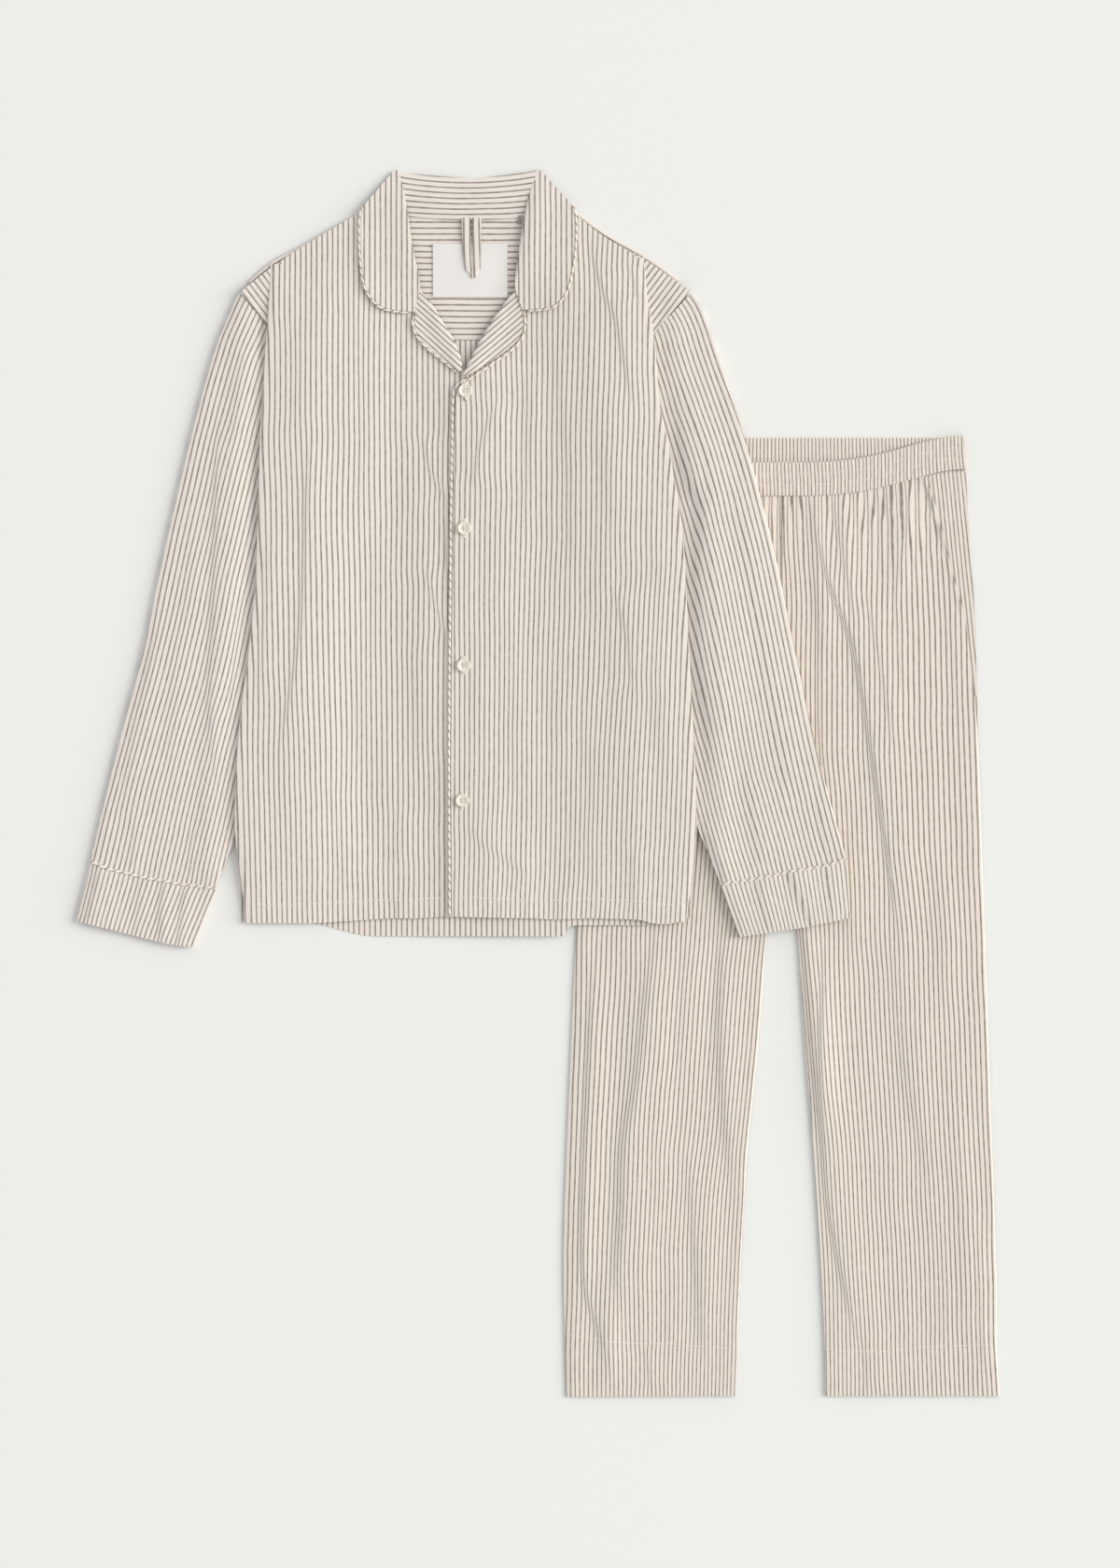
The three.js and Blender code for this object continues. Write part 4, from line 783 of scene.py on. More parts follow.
RIGHT = Side(
    name="right",
    number=2,
    inward=-1,
    overlap=2.6,
    fold=Outline((
        (692, 281), (694, 318), (701, 365), (706, 430), (715, 473), (722.5, 517),
        (731, 571), (735, 640), (739, 720), (743, 800), (746, 880), (745, 940), (742, 987),
    )),
    front_edge=Outline((
        (579, 217), (570, 245), (562, 280), (556, 309), (543, 330), (530, 348),
        (520, 366), (511, 384), (503, 400), (493, 414), (488, 430), (486.6, 470),
        (485, 600), (483.7, 760), (483.5, 850), (484.2, 983),
    )),
    front_head=Outline(((580, 213), (612.5, 227.5), (648, 252.5), (676, 268), (690, 276))),
    front_hem=Outline((
        (484.2, 982), (521, 983), (572, 984), (597, 985), (627, 984), (683, 985),
        (701, 988.5), (718, 990), (735, 987.5),
    )),
    front_lean=((283, 0), (450, 0), (600, -4), (930, -20), (988, -24)),
    front_repeat=5.5,
    front_creases=FRONT_RIGHT_CREASES,
    corner=Panel(
        Outline(((679, 273.5), (678, 320), (676, 378))),
        Outline(((738.2, 312.5), (720.8, 333.5), (702.8, 356), (690.4, 381.5))),
        Outline(((679, 270.5), (692, 278.5), (708.5, 289.5), (724, 301), (738.2, 312.5))),
    ),
    shoulder=Outline((
        (586, 206), (614.5, 225), (650, 250), (687, 271), (711, 287), (726, 299), (735, 307.5),
    )),
    sleeve_head=Outline(((740.5, 314), (720.5, 335.5), (702, 358), (664.5, 442))),
    sleeve_outer=Outline((
        (740.5, 314), (752, 333), (768, 380), (794, 460), (818.5, 548), (834, 613),
        (851.5, 698), (869, 780), (889, 860), (905.5, 920),
    )),
    sleeve_inner=Outline((
        (664.5, 441), (676, 500), (703, 600), (716, 700), (728, 790), (746, 880), (755, 905), (771, 945),
    )),
    sleeve_on="trouser_front_left",
    sleeve_creases=SLEEVE_RIGHT_CREASES,
    cuff_seam=(
        (906, 920), (888, 926), (873, 929.5), (844, 934), (817, 940), (800, 943), (772, 947.5),
    ),
    cuff_edge=((911, 983), (884, 989), (859, 994), (826, 999), (792, 1004)),
    cuff_on="trouser_front_right",
    cuff_creases=CUFF_RIGHT_CREASES,
    leaf=Panel(
        Outline(((574, 181), (565.5, 215), (557, 263), (552, 303), (555.5, 320), (560, 332))),
        Outline((
            (580, 183), (598, 204), (614, 224), (615.5, 262), (610, 300), (603, 318),
            (590, 328.5), (564, 332),
        )),
    ),
    leaf_drop=1.2,
    lapel=Panel(
        Outline(((552, 310), (539, 327.5), (527, 344.5), (516.5, 362), (506.5, 380.5), (496.5, 401))),
        Outline(((559, 334.5), (560.5, 347), (557, 361), (545, 373.5), (523, 389), (497.5, 404.8))),
    ),
    lapel_turn=(0.647, -0.763),
    lapel_repeat=4.94,
    leg_outer=Outline((
        (1035, 505), (1039, 580), (1044.5, 660), (1048, 790), (1053, 940),
        (1058.5, 1100), (1064, 1260), (1068, 1380), (1068, 1440), (1071, 1496),
    )),
    leg_inner=Outline((
        (838.4, 532), (838.6, 700), (839.5, 805), (846, 900), (855.5, 1005),
        (863, 1120), (872.5, 1240), (879, 1340), (883.5, 1430), (885, 1496),
    )),
    leg_inner_height=LEG_SEAM + 1.0,
    leg_repeats=(4.45, 5.3),
    leg_area=0.195,
    leg_hem=((884, 1446), (1066, 1441)),
    leg_creases=LEG_RIGHT_CREASES,
    leg_back_creases=BACK_RIGHT_LEG_CREASES,
)


@dataclass(frozen=True)
class Folds:
    """The large folds of a panel, in the columns x, y, length, drift, half width and height."""

    rows: tuple[tuple[float, float, float, float, float, float], ...]

    def lift(self, x: np.ndarray, y: np.ndarray) -> np.ndarray:
        """Summed height of the folds: a half sine along each and a bell curve across it."""
        total = np.zeros(np.broadcast(x, y).shape)
        for fx, fy, length, drift, half_width, height in self.rows:
            along = np.clip((y - fy) / length, 0.0, 1.0)
            off = (x - fx - drift * along) / half_width
            total = total + height * np.sin(np.pi * along) * np.exp(-off * off)
        return total


LEG_FOLDS = Folds((
    (868, 520, 190, 22, 11, 1.3), (905, 520, 120, 4, 11, 0.9), (968, 505, 150, -10, 12, 1.4),
    (868, 960, 330, 20, 13, 1.2), (1030, 1180, 300, 16, 14, 1.0), (690, 960, 260, -14, 14, 1.3),
    (650, 1330, 165, 6, 13, 1.3),
))
FRONT_FOLDS = Folds((
    (452, 430, 420, 12, 22, 1.2), (652, 290, 260, 6, 20, 1.0),
    (600, 600, 380, 14, 26, 1.0), (350, 620, 360, -16, 26, 1.0),
))


@dataclass(frozen=True)
class Lie:
    """How high each layer of the set lies, as in the solids.

    Attributes:
        plateau: what lies under the shirt where it covers the trousers.
        ramp_beside: width over which the shirt comes down to the floor beside them.
        ramp_above: width over which it comes down above them.
        front: underside of a front.
        side_pile: how much higher a front lies over the tucked sleeve.
        sleeve_over_back: underside of a sleeve on the edge of the back.
        sleeve_tucked: height of a sleeve under the front.
        sleeve_free: height of a sleeve outside the side fold.
        sleeve_rise: width over which it rises.
        leg: underside of a trouser front.
    """

    plateau: float = 5.9
    ramp_beside: float = 250.0
    ramp_above: float = 120.0
    front: float = 3.0
    side_pile: float = 5.4
    sleeve_over_back: float = 1.7
    sleeve_tucked: float = 3.1
    sleeve_free: float = 6.2
    sleeve_rise: float = 34.0
    leg: float = 2.7

    def ground(self, x: np.ndarray, y: np.ndarray) -> np.ndarray:
        """What the shirt lies on: the floor, or the trousers with a slope down beside them."""
        beside = np.maximum(LEFT.leg_outer.x_at(y) - x, 0.0)
        above = np.maximum(BACK_BAND_TOP - y, 0.0)
        return self.plateau * ease(1 - beside / self.ramp_beside) * ease(1 - above / self.ramp_above)

    def inside(self, x: np.ndarray, y: np.ndarray) -> np.ndarray:
        """Distance inside the nearer side fold of the shirt, negative outside it."""
        return np.minimum(x - LEFT.fold.x_at(y), RIGHT.fold.x_at(y) - x)

    def front_under(self, x: np.ndarray, y: np.ndarray, side: Side) -> np.ndarray:
        """Underside of a shirt front, higher over the tucked sleeve and where it laps over the other."""
        started = mix(0.25, 1.0, ease((y - 283) / 42))
        pile = self.side_pile * started * (1 - 0.62 * ease((y - 880) / 90))
        near_side = ease(1 - (self.inside(x, y) - 46) / 110)
        lap = side.overlap * ease((592 - x) / 84) * ease((y - 376) / 26)
        return self.ground(x, y) + self.front + pile * near_side + FRONT_FOLDS.lift(x, y) + lap

    def sleeve_under(self, x: np.ndarray, y: np.ndarray) -> np.ndarray:
        """Underside of a sleeve, on the floor and over the edge of the back."""
        return self.ground(x, y) + self.sleeve_over_back * ease(1.25 + self.inside(x, y) / 40)

    def sleeve_height(self, x: np.ndarray, y: np.ndarray) -> np.ndarray:
        """Height of a sleeve, low where it is tucked under the front."""
        free = ease(-self.inside(x, y) / self.sleeve_rise)
        return mix(self.sleeve_tucked, self.sleeve_free, free)

    def tube_top(self, x: np.ndarray, y: np.ndarray, from_edge: np.ndarray, half: float) -> np.ndarray:
        """Middle of a sleeve's upper wall, which turns down a little at the pressed edge."""
        crown = 0.84 + 0.16 * slope_off(from_edge, 12)
        return self.sleeve_under(x, y) + self.sleeve_height(x, y) * crown - half

    def tube_bottom(self, x: np.ndarray, y: np.ndarray, from_edge: np.ndarray, half: float) -> np.ndarray:
        """Middle of a sleeve's lower wall, which comes up to the pressed edge."""
        up = 0.22 * self.sleeve_height(x, y) * (1 - ease(from_edge / 10))
        return self.sleeve_under(x, y) + half + up


LIE = Lie()


def linear(hex_colour: str) -> tuple[float, float, float, float]:
    """A colour written as sRGB hex, as linear values."""
    parts = [int(hex_colour[k : k + 2], 16) / 255 for k in (0, 2, 4)]
    red, green, blue = (c / 12.92 if c <= 0.04045 else ((c + 0.055) / 1.055) ** 2.4 for c in parts)
    return (red, green, blue, 1.0)


@dataclass(frozen=True)
class Graph:
    """The nodes of a material, with short ways to add to them."""

    tree: bpy.types.NodeTree

    def feed(self, made: bpy.types.Node, inputs: dict) -> None:
        """Sets each named or numbered input of a node to a value, or links it to a socket."""
        for key, value in inputs.items():
            if isinstance(value, bpy.types.NodeSocket):
                self.tree.links.new(value, made.inputs[key])
            else:
                made.inputs[key].default_value = value

    def node(self, kind: str, inputs: dict | None = None, **settings: object) -> bpy.types.Node:
        """Adds a node.

        Args:
            kind: type name of the node.
            inputs: a value or a socket for each named or numbered input.
            settings: properties of the node.

        Returns:
            The new node.
        """
        made = self.tree.nodes.new(kind)
        for key, value in settings.items():
            setattr(made, key, value)
        self.feed(made, inputs or {})
        return made

    def here(self) -> bpy.types.NodeSocket:
        """The place on the piece, in metres."""
        return self.node("ShaderNodeTexCoord").outputs["Object"]

    def maths(self, operation: str, *values: object) -> bpy.types.NodeSocket:
        """The result of one sum on numbers or sockets."""
        return self.node("ShaderNodeMath", dict(enumerate(values)), operation=operation).outputs[0]

    def times(self, value: object, factor: object) -> bpy.types.NodeSocket:
        """A value times a factor."""
        return self.maths("MULTIPLY", value, factor)

    def swing(self, share: object, size: float) -> bpy.types.NodeSocket:
        """A share from 0 to 1 turned into a swing about 0, of the given size from end to end."""
        return self.times(self.maths("SUBTRACT", share, 0.5), size)

    def noise(self, u: object, v: object, detail: float = 2.0) -> bpy.types.NodeSocket:
        """Soft noise from 0 to 1 over two coordinates."""
        where = self.node("ShaderNodeCombineXYZ", {"X": u, "Y": v}).outputs[0]
        return self.node("ShaderNodeTexNoise", {"Vector": where, "Scale": 1.0, "Detail": detail}).outputs[0]

    def blend(self, share: object, first: object, second: object) -> bpy.types.NodeSocket:
        """A mix of two colours."""
        return self.node("ShaderNodeMix", {0: share, 6: first, 7: second}, data_type="RGBA").outputs[2]

    def ramp(self, value: object, span: Span, to: Span, **settings: object) -> bpy.types.NodeSocket:
        """A value carried over from one span to another and held at its ends."""
        inputs = dict(enumerate((value, *span, *to)))
        return self.node("ShaderNodeMapRange", inputs, **settings).outputs[0]

    def relief(self, height: object, strength: float, depth: float) -> bpy.types.NodeSocket:
        """The surface's direction under a fine relief, its depth in metres."""
        inputs = {"Strength": strength, "Distance": depth, "Height": height}
        return self.node("ShaderNodeBump", inputs).outputs[0]


@dataclass(frozen=True)
class Finish:
    """A named material; each kind of finish fills in its nodes."""

    name: str
    slot: str

    def nodes(self, graph: Graph, shader: bpy.types.Node) -> None:
        """Adds this finish's nodes before the surface shader."""
        raise NotImplementedError

    def dress(self, piece: bpy.types.Object) -> None:
        """Gives the piece this finish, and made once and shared."""
        material = bpy.data.materials.get(self.name)
        if material is None:
            material = bpy.data.materials.new(self.name)
            material.use_nodes = True
            tree = material.node_tree
            self.nodes(Graph(tree), tree.nodes["Principled BSDF"])
        piece.data.materials.clear()
        piece.data.materials.append(material)


@dataclass(frozen=True)
class Poplin(Finish):
    """Cotton poplin, plain woven with the warp yarns dyed before weaving, so that fine dark lines
    run along a cream ground. The eye gets thin, slightly broken lines, faint streaks of uneven
    yarn, and a matt, soft surface.

    Attributes:
        line_width: width of a line, in millimetres.
        repeat: distance between two lines, in millimetres.
        wander: how far a line strays to either side, in millimetres.
        slant: how far the lines move sideways for each millimetre along the cloth.
        softness: half width of a line's soft edge, as a share of the repeat.
        swelling: how much wider a thick place in the yarn makes its line.
        streak: brightness of the darkest streaks in the ground.
    """

    ground: str
    line: str
    line_width: float
    repeat: float = STRIPE_REPEAT
    wander: float = 0.65
    slant: float = 0.0
    softness: float = 0.04
    swelling: float = 0.07
    streak: float = 0.86

    def nodes(self, graph: Graph, shader: bpy.types.Node) -> None:
        """Stripes, yarn streaks and the weave's relief, all in the cloth's own coordinates."""
        cloth = graph.node("ShaderNodeUVMap", uv_map="cloth").outputs[0]
        split = graph.node("ShaderNodeSeparateXYZ", {0: cloth})
        u, v = split.outputs[0], split.outputs[1]

        def yarn(per_u: float, per_v: float, detail: float = 2.0) -> bpy.types.NodeSocket:
            """Noise at the given rates for each millimetre across and along the cloth."""
            return graph.noise(graph.times(u, per_u), graph.times(v, per_v), detail)

        # A line wanders by a fraction of a millimetre along its length, as a warp yarn does.
        across = graph.maths("ADD", u, graph.swing(yarn(0.03, 0.016), 2 * self.wander))
        across = graph.maths("ADD", across, graph.times(v, self.slant))
        count = graph.maths("DIVIDE", across, self.repeat)
        off = graph.maths("ABSOLUTE", graph.swing(graph.maths("FRACT", count), 1.0))
        # Each line is thicker and darker in places, where its yarn is.
        own = graph.times(graph.maths("FLOOR", count), 7.3)
        slub = graph.noise(own, graph.times(v, 0.11), 3.0)
        uneven = graph.maths("ADD", graph.swing(slub, 0.75), graph.swing(yarn(0.9, 0.7), 0.4))
        off = graph.maths("SUBTRACT", off, graph.times(uneven, self.swelling))
        half = self.line_width / self.repeat / 2
        edge = (half - self.softness, half + self.softness)
        stripe = graph.ramp(off, edge, (1.0, 0.0), interpolation_type="SMOOTHSTEP")
        mask = graph.times(stripe, graph.ramp(uneven, (-0.25, 0.15), (0.7, 1.0)))
        # Uneven yarns leave faint streaks along the cloth and fainter ones across it.
        warp = yarn(1.3, 0.05, 3.0)
        streaks = graph.maths("ADD", graph.times(warp, 0.65), graph.times(yarn(0.05, 1.5), 0.35))
        deeper = tuple(c * self.streak for c in linear(self.ground)[:3]) + (1.0,)
        ground = graph.blend(graph.ramp(streaks, (0.35, 0.65), (0.5, 0.0)), linear(self.ground), deeper)
        weave = yarn(2.2, 2.2)
        graph.feed(shader, {
            "Base Color": graph.blend(mask, ground, linear(self.line)),
            "Normal": graph.relief(graph.maths("ADD", weave, graph.times(warp, 0.8)), 0.35, 0.0003),
            "Roughness": graph.ramp(weave, (0.3, 0.7), (0.82, 0.94)),
            "Sheen Weight": 0.12,
            "Sheen Roughness": 0.45,
            "Specular IOR Level": 0.25,
        })


@dataclass(frozen=True)
class Shell(Finish):
    """Pearl shell, sawn and polished. The eye gets a cream gloss with soft cloudy bands."""

    light: str
    dark: str

    def nodes(self, graph: Graph, shader: bpy.types.Node) -> None:
        """Clouded cream bands under a clear polish."""
        cloud = {"Vector": graph.here(), "Scale": 260.0, "Detail": 3.0, "Distortion": 1.6}
        bands = {"Vector": graph.here(), "Scale": 190.0, "Detail": 2.0, "Distortion": 5.0}
        share = graph.node("ShaderNodeTexNoise", cloud).outputs[0]
        graph.feed(shader, {
            "Base Color": graph.blend(share, linear(self.light), linear(self.dark)),
            "Normal": graph.relief(graph.node("ShaderNodeTexWave", bands).outputs[0], 0.12, 0.0002),
            "Roughness": 0.24,
            "Coat Weight": 0.5,
            "Coat Roughness": 0.08,
        })


@dataclass(frozen=True)
class Plain(Finish):
    """Plain yarn or ribbon of one dye. The eye gets fine ribs of uneven brightness."""

    light: str
    dark: str
    grain: float
    roughness: float

    def nodes(self, graph: Graph, shader: bpy.types.Node) -> None:
        """Fine grain in the piece's own place, as colour and as relief."""
        fibres = {"Vector": graph.here(), "Scale": self.grain, "Detail": 4.0}
        fine = graph.node("ShaderNodeTexNoise", fibres).outputs[0]
        graph.feed(shader, {
            "Base Color": graph.blend(fine, linear(self.light), linear(self.dark)),
            "Normal": graph.relief(fine, 0.25, 0.0002),
            "Roughness": self.roughness,
            "Sheen Weight": 0.08,
        })


@dataclass(frozen=True)
class Floor(Finish):
    """A painted studio floor, matt and almost white, with painted light: its colour grows lighter towards
    the right, where the lamps stand. The eye gets no pattern, only soft shadow.
    """

    # Colours at the left and the right end; the lighter right end is painted light from the lamps on that
    # side
    left: str
    right: str

    def nodes(self, graph: Graph, shader: bpy.types.Node) -> None:
        """Painted light: a slow change of tone from left to right, lighter on the right towards the lamps,
        with a very faint mottle.
        """
        here = graph.here()
        x = graph.node("ShaderNodeSeparateXYZ", {0: here}).outputs[0]
        mottle = graph.node("ShaderNodeTexNoise", {"Vector": here, "Scale": 3.0, "Detail": 2.0}).outputs[0]
        # Painted light: the share runs from the left colour to the lighter right one, as if the lamps on
        # the right lit the floor more there
        share = graph.maths("ADD", graph.ramp(x, (-0.6, 0.6), (0.0, 1.0)), graph.swing(mottle, 0.2))
        graph.feed(shader, {
            "Base Color": graph.blend(share, linear(self.left), linear(self.right)),
            "Roughness": 0.95,
            "Specular IOR Level": 0.1,
        })


SHIRT_POPLIN = Poplin("shirt poplin", "shirt_cloth", "efe6dd", "8f8277", line_width=1.65)
TROUSER_POPLIN = Poplin("trouser poplin", "trouser_cloth", "efe5d9", "8f8075", line_width=1.7)
PIPING_POPLIN = Poplin(
    "bias piping", "piping_cloth", "f5ede1", "a39585", line_width=2.4, repeat=8.06, wander=0.2, slant=0.9,
)
PEARL = Shell("pearl shell", "pearl_shell", "fbf5ea", "e2d6c4")
RIBBON = Plain("label ribbon", "label_cloth", "f3f0ed", "e6e1dc", grain=900.0, roughness=0.55)
THREAD = Plain("sewing thread", "shirt_cloth", "fbf5ec", "eee4d8", grain=1500.0, roughness=0.7)
DARK_THREAD = Plain("dark sewing thread", "shirt_cloth", "8d8074", "6f645a", grain=1500.0, roughness=0.8)
# The lighter right colour is painted light from the lamps on the right
STUDIO_FLOOR = Floor("studio floor", "", "eeedea", "f0f1ed")


@dataclass(frozen=True)
class Cut:
    """The flat cut of a piece: width and length of its rectangle, and its area, in metres."""

    width: float
    length: float
    area: float | None = None


class Garment:
    def sew(
        self, node_name: str, cloth: Cloth, finish: Finish,
        cut: Cut | None = None, rests_on: tuple[str, ...] = (),
    ) -> None:
        """Makes one piece in place of its solid.

        Args:
            node_name: the solid that the piece stands for.
            cloth: the closed mesh.
            finish: the material.
            cut: the flat cut, or None for a piece that is no sheet; not used.
            rests_on: what a sheet lies on; not used.
        """
        piece = cloth.to_object(node_name + "_cloth")
        finish.dress(piece)
        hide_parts(node_name)
        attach(piece, "root")
        log.info("%s: %d faces, %.4f square metres", node_name, len(cloth.faces), cloth.area())

    def trim(self, name: str, cloth: Cloth, finish: Finish) -> None:
        """Makes a small sewn-on piece that no solid stands for."""
        piece = cloth.to_object(name)
        finish.dress(piece)
        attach(piece, "root")
        log.info("%s: %d faces", name, len(cloth.faces))


@dataclass
class Trousers(Garment):
    """Trousers with an elastic waistband, lying on their backs under the shirt.

    Attributes:
        gather: height of the small gathers under the waistband.
        soft_edge: reach of the slope at a leg's left edge, which bulges less than the right one.
        crisp_edge: reach of the slope at a leg's right edge.
        tuck: how far a front's top lies under the waistband.
        ruffle: half height of the waistband's ruffles.
        ruffle_share: share of the ruffles' height that is left at a row of stitches.
        band_floor: height of the lowest place on the waistband's front.
        flare: how much wider the band is at its lower edge, at either end.
    """

    gather: float = 0.22
    soft_edge: float = 11.0
    crisp_edge: float = 1.0
    tuck: float = 2.5
    ruffle: float = 0.26
    ruffle_share: float = 0.25
    band_floor: float = 2.8 + BAND_WALL
    flare: float = 2.4

    def gathered(self, y: np.ndarray) -> np.ndarray:
        """How much of the gathers is left: all at the waistband, none 150 mm below it."""
        return 1 - ease((y - 510) / 150)

    def leg_surface(self, x: np.ndarray, y: np.ndarray, side: Side) -> Pair:
        """Height of a trouser front's middle surface away from its edges, and its stripe shift."""
        lift, shift = creased(side.leg_creases, x, y)
        fade = self.gathered(y)
        # The gathers are about 12.5 mm apart, and longer waves make them uneven.
        turns = x / 12.5 + 0.5 * np.sin(x / 19.0) + 0.25 * np.sin(y / 31.0 + x / 40.0)
        gather = self.gather * fade * np.sin(2 * np.pi * turns) * (0.7 + 0.3 * np.sin(x / 13.0))
        stir = unevenness(x, y, 10 + side.number, 0.17)
        height = LIE.leg + CLOTH / 2 + LEG_FOLDS.lift(x, y) + lift + gather + stir
        return height, shift + 1.5 * fade * np.sin(2 * np.pi * turns + 0.8)

    def leg_uv(self, x: np.ndarray, y: np.ndarray, side: Side, near: float, far: float) -> np.ndarray:
        """Cloth coordinates of a leg.

        Args:
            x: board x of its grid.
            y: board y of its grid.
            side: the leg.
            near: distance between two stripes at the inner seam.
            far: distance between two stripes at the outer seam.

        Returns:
            The coordinates, u across and v down.
        """
        start, end = side.leg_inner.x_at(y), side.leg_outer.x_at(y)
        share = (x - start) / (end - start)
        repeats = LEG_WIDTH / (far - near) * np.log((near + (far - near) * share) / near)
        return np.stack([STRIPE_REPEAT * (repeats + 0.3), y + 0 * share], axis=-1)

    def front(self, side: Side) -> None:
        """One trouser front, arched over the back and gathered at the band."""
        left = side is LEFT
        edge = side.leg_outer
        if not left:
            edge = Outline(POCKET_EDGE.points + tuple(p for p in edge.points if p[1] > MOUTH_END))
        head_x = np.linspace(side.leg_inner.points[0][0], edge.points[0][0], 9)
        head = Outline(tuple(zip(head_x, band_top(head_x) + BAND_HEIGHT - self.tuck)))
        across = crowded(136, 0.55)
        x, y = Panel(side.leg_inner, edge, head).at(crowded(170, 0.35), across)
        from_inner, from_outer = across * breadth(x, y), (1 - across) * breadth(x, y)
        inner_reach, outer_reach = self.crisp_edge, self.soft_edge
        if not left:
            inner_reach, outer_reach = outer_reach, inner_reach
        crown, shift = self.leg_surface(x, y, side)
        outer_slope = 1 - slope_off(from_outer, outer_reach)
        if not left:
            outer_slope = outer_slope * ease((y - POCKET_END - 6) / (MOUTH_END - POCKET_END))
        inner_slope = (1 - slope_off(from_inner, inner_reach)) * ease((y - CROTCH) / 50)
        z = mix(mix(crown, LEG_SEAM, outer_slope), side.leg_inner_height, inner_slope)
        tucked = 1 - ease((y - band_top(x) - BAND_HEIGHT + self.tuck) / 5)
        z = mix(z, LEG_SEAM + 0.8, tucked)
        uv = self.leg_uv(x, y, side, *side.leg_repeats)
        uv[..., 0] -= side.inward * shift
        cloth = Cloth.wall(place(x, y, z), uv, SHELL)
        cut = Cut(0.235, 1.0, side.leg_area)
        self.sew(f"trouser_front_{side.name}", cloth, TROUSER_POPLIN, cut, (f"trouser_back_{side.name}",))

    def back(self, side: Side) -> None:
        """One trouser back, flat on the floor, with a few shallow creases pressed into it."""
        top = BACK_BAND_TOP + BAND_HEIGHT + BAND_GAP
        head = Outline(((side.leg_inner.points[0][0], top), (side.leg_outer.points[0][0], top)))
        across = crowded(48, 0.7)
        x, y = Panel(side.leg_inner, side.leg_outer, head).at(even(90), across)
        lift, shift = creased(side.leg_back_creases, x, y)
        uv = self.leg_uv(x, y, side, 4.6, 5.3)
        uv[..., 0] += shift
        width = np.abs(x[:, -1:] - x[:, :1])
        outer_curl = (1 - round_edge((1 - across) * width, 6)) * ease((y - 560) / 60)
        inner_curl = (1 - round_edge(across * width, 6)) * ease((y - CROTCH) / 50)
        curl = outer_curl * (LEG_SEAM - 1.6) + inner_curl * (side.leg_inner_height - 1.6)
        cloth = Cloth.wall(place(x, y, CLOTH / 2 + lift + curl), uv, SHELL)
        cut = Cut(0.25, 1.02, 0.205)
        self.sew(f"trouser_back_{side.name}", cloth, TROUSER_POPLIN, cut, ("floor",))

    def pocket(self) -> None:
        """The facing that shows beyond the slanted pocket mouth."""
        down = mix(BACK_BAND_TOP + BAND_HEIGHT, POCKET_END, even(70))[:, None]
        x = mix(POCKET_EDGE.x_at(down) - 11, RIGHT.leg_outer.x_at(down), even(16)[None, :])
        y = np.maximum(down + 0 * x, band_top(x) + BAND_HEIGHT + BAND_GAP + 0.02 * (down - down[0]))
        wave = 0.25 * self.gathered(y) * (1 + np.sin(x / 2.1 + y / 60))
        z = CLOTH + SEAM_GAP + CLOTH / 2 + wave
        uv = np.stack([striped(x - 0.1 * y, 4.4), y], axis=-1)
        cloth = Cloth.wall(place(x, y, z), uv, SHELL)
        self.sew("pocket_facing", cloth, TROUSER_POPLIN, Cut(0.07, 0.245, 0.0105), ("trouser_back_right",))

    def band_turns(self, x: np.ndarray) -> np.ndarray:
        """Number of ruffles up to x: one each 7.9 mm, drawn up a little unevenly."""
        return x / 7.9 + 0.35 * np.sin(x / 17)

    def flared(self, x: np.ndarray, down: np.ndarray) -> np.ndarray:
        """The band's x at a share of its height, wider towards its lower edge."""
        return x + (x - TROUSERS_MIDDLE) / WAIST_HALF * self.flare * down

    def waistband(self) -> None:
        """The band: a ring of cloth ruffled by elastic, sewn down in three channels."""
        left, right = TROUSERS_MIDDLE - WAIST_HALF, TROUSERS_MIDDLE + WAIST_HALF
        down = even(36)[:, None]
        to_row = np.min([np.abs(down - row) for row in (0, *BAND_ROWS, 1)], axis=0)
        puff = np.sqrt(np.clip(to_row / 0.16, 0, 1))
        shares = even(300)
        x = mix(left, right, shares)[None, :]
        ruffle = np.sin(2 * np.pi * (self.band_turns(x) + 0.12 * np.sin(x / 9.3 + 5 * down)))
        ruffle = mix(self.ruffle_share, 1.0, puff) * self.ruffle * ruffle
        z = self.band_floor + 0.9 * puff + ruffle
        z[:, [0, -1]] += SHELL / 2
        shares = even(120)[-2:0:-1]
        back_x = mix(left, right, shares)[None, :]
        turned = 1 - round_edge(np.minimum(shares, 1 - shares) * (right - left), 5)
        back_y = mix(BACK_BAND_TOP, band_top(back_x), turned) + BAND_HEIGHT * down
        back_z = 0.8 + 0.45 * (1 + np.sin(2 * np.pi * back_x / 8.3 + 0.9 * np.sin(back_x / 14))) * puff
        ring = place(
            self.flared(np.hstack([x, back_x]), down),
            np.hstack([band_top(x) + BAND_HEIGHT * down, back_y]),
            np.hstack([z, back_z]),
        )
        # The elastic draws the stripes together.
        u = [x + 0 * down, 2 * right - back_x + 0 * down, 0 * down + 2 * right - left]
        u = striped(np.hstack(u), 3.94)
        u[:, : x.size] += 0.9 * np.sin(x / 41 + 3.2 * down)
        uv = np.stack(np.broadcast_arrays(u, down * BAND_HEIGHT), axis=-1)
        cloth = Cloth.wall(ring, uv, SHELL, closed=True)
        self.sew("waistband", cloth, TROUSER_POPLIN, Cut(0.80, 0.0355), ("floor",))
        self.band_stitches(np.linspace(left + 8, right - 8, 420))

    def band_stitches(self, x: np.ndarray) -> None:
        """The two rows of stitches between the waistband's channels, which ride on its ruffles."""
        rows = []
        for row in BAND_ROWS:
            y = band_top(x) + BAND_HEIGHT * row
            ruffle = self.ruffle_share * self.ruffle * np.sin(2 * np.pi * self.band_turns(x))
            line = place(self.flared(x, row), y, self.band_floor + ruffle + 0.45)
            rows.append(stitches(line, radius=0.34))
        self.trim("waistband_stitches", Cloth.together(rows), THREAD)

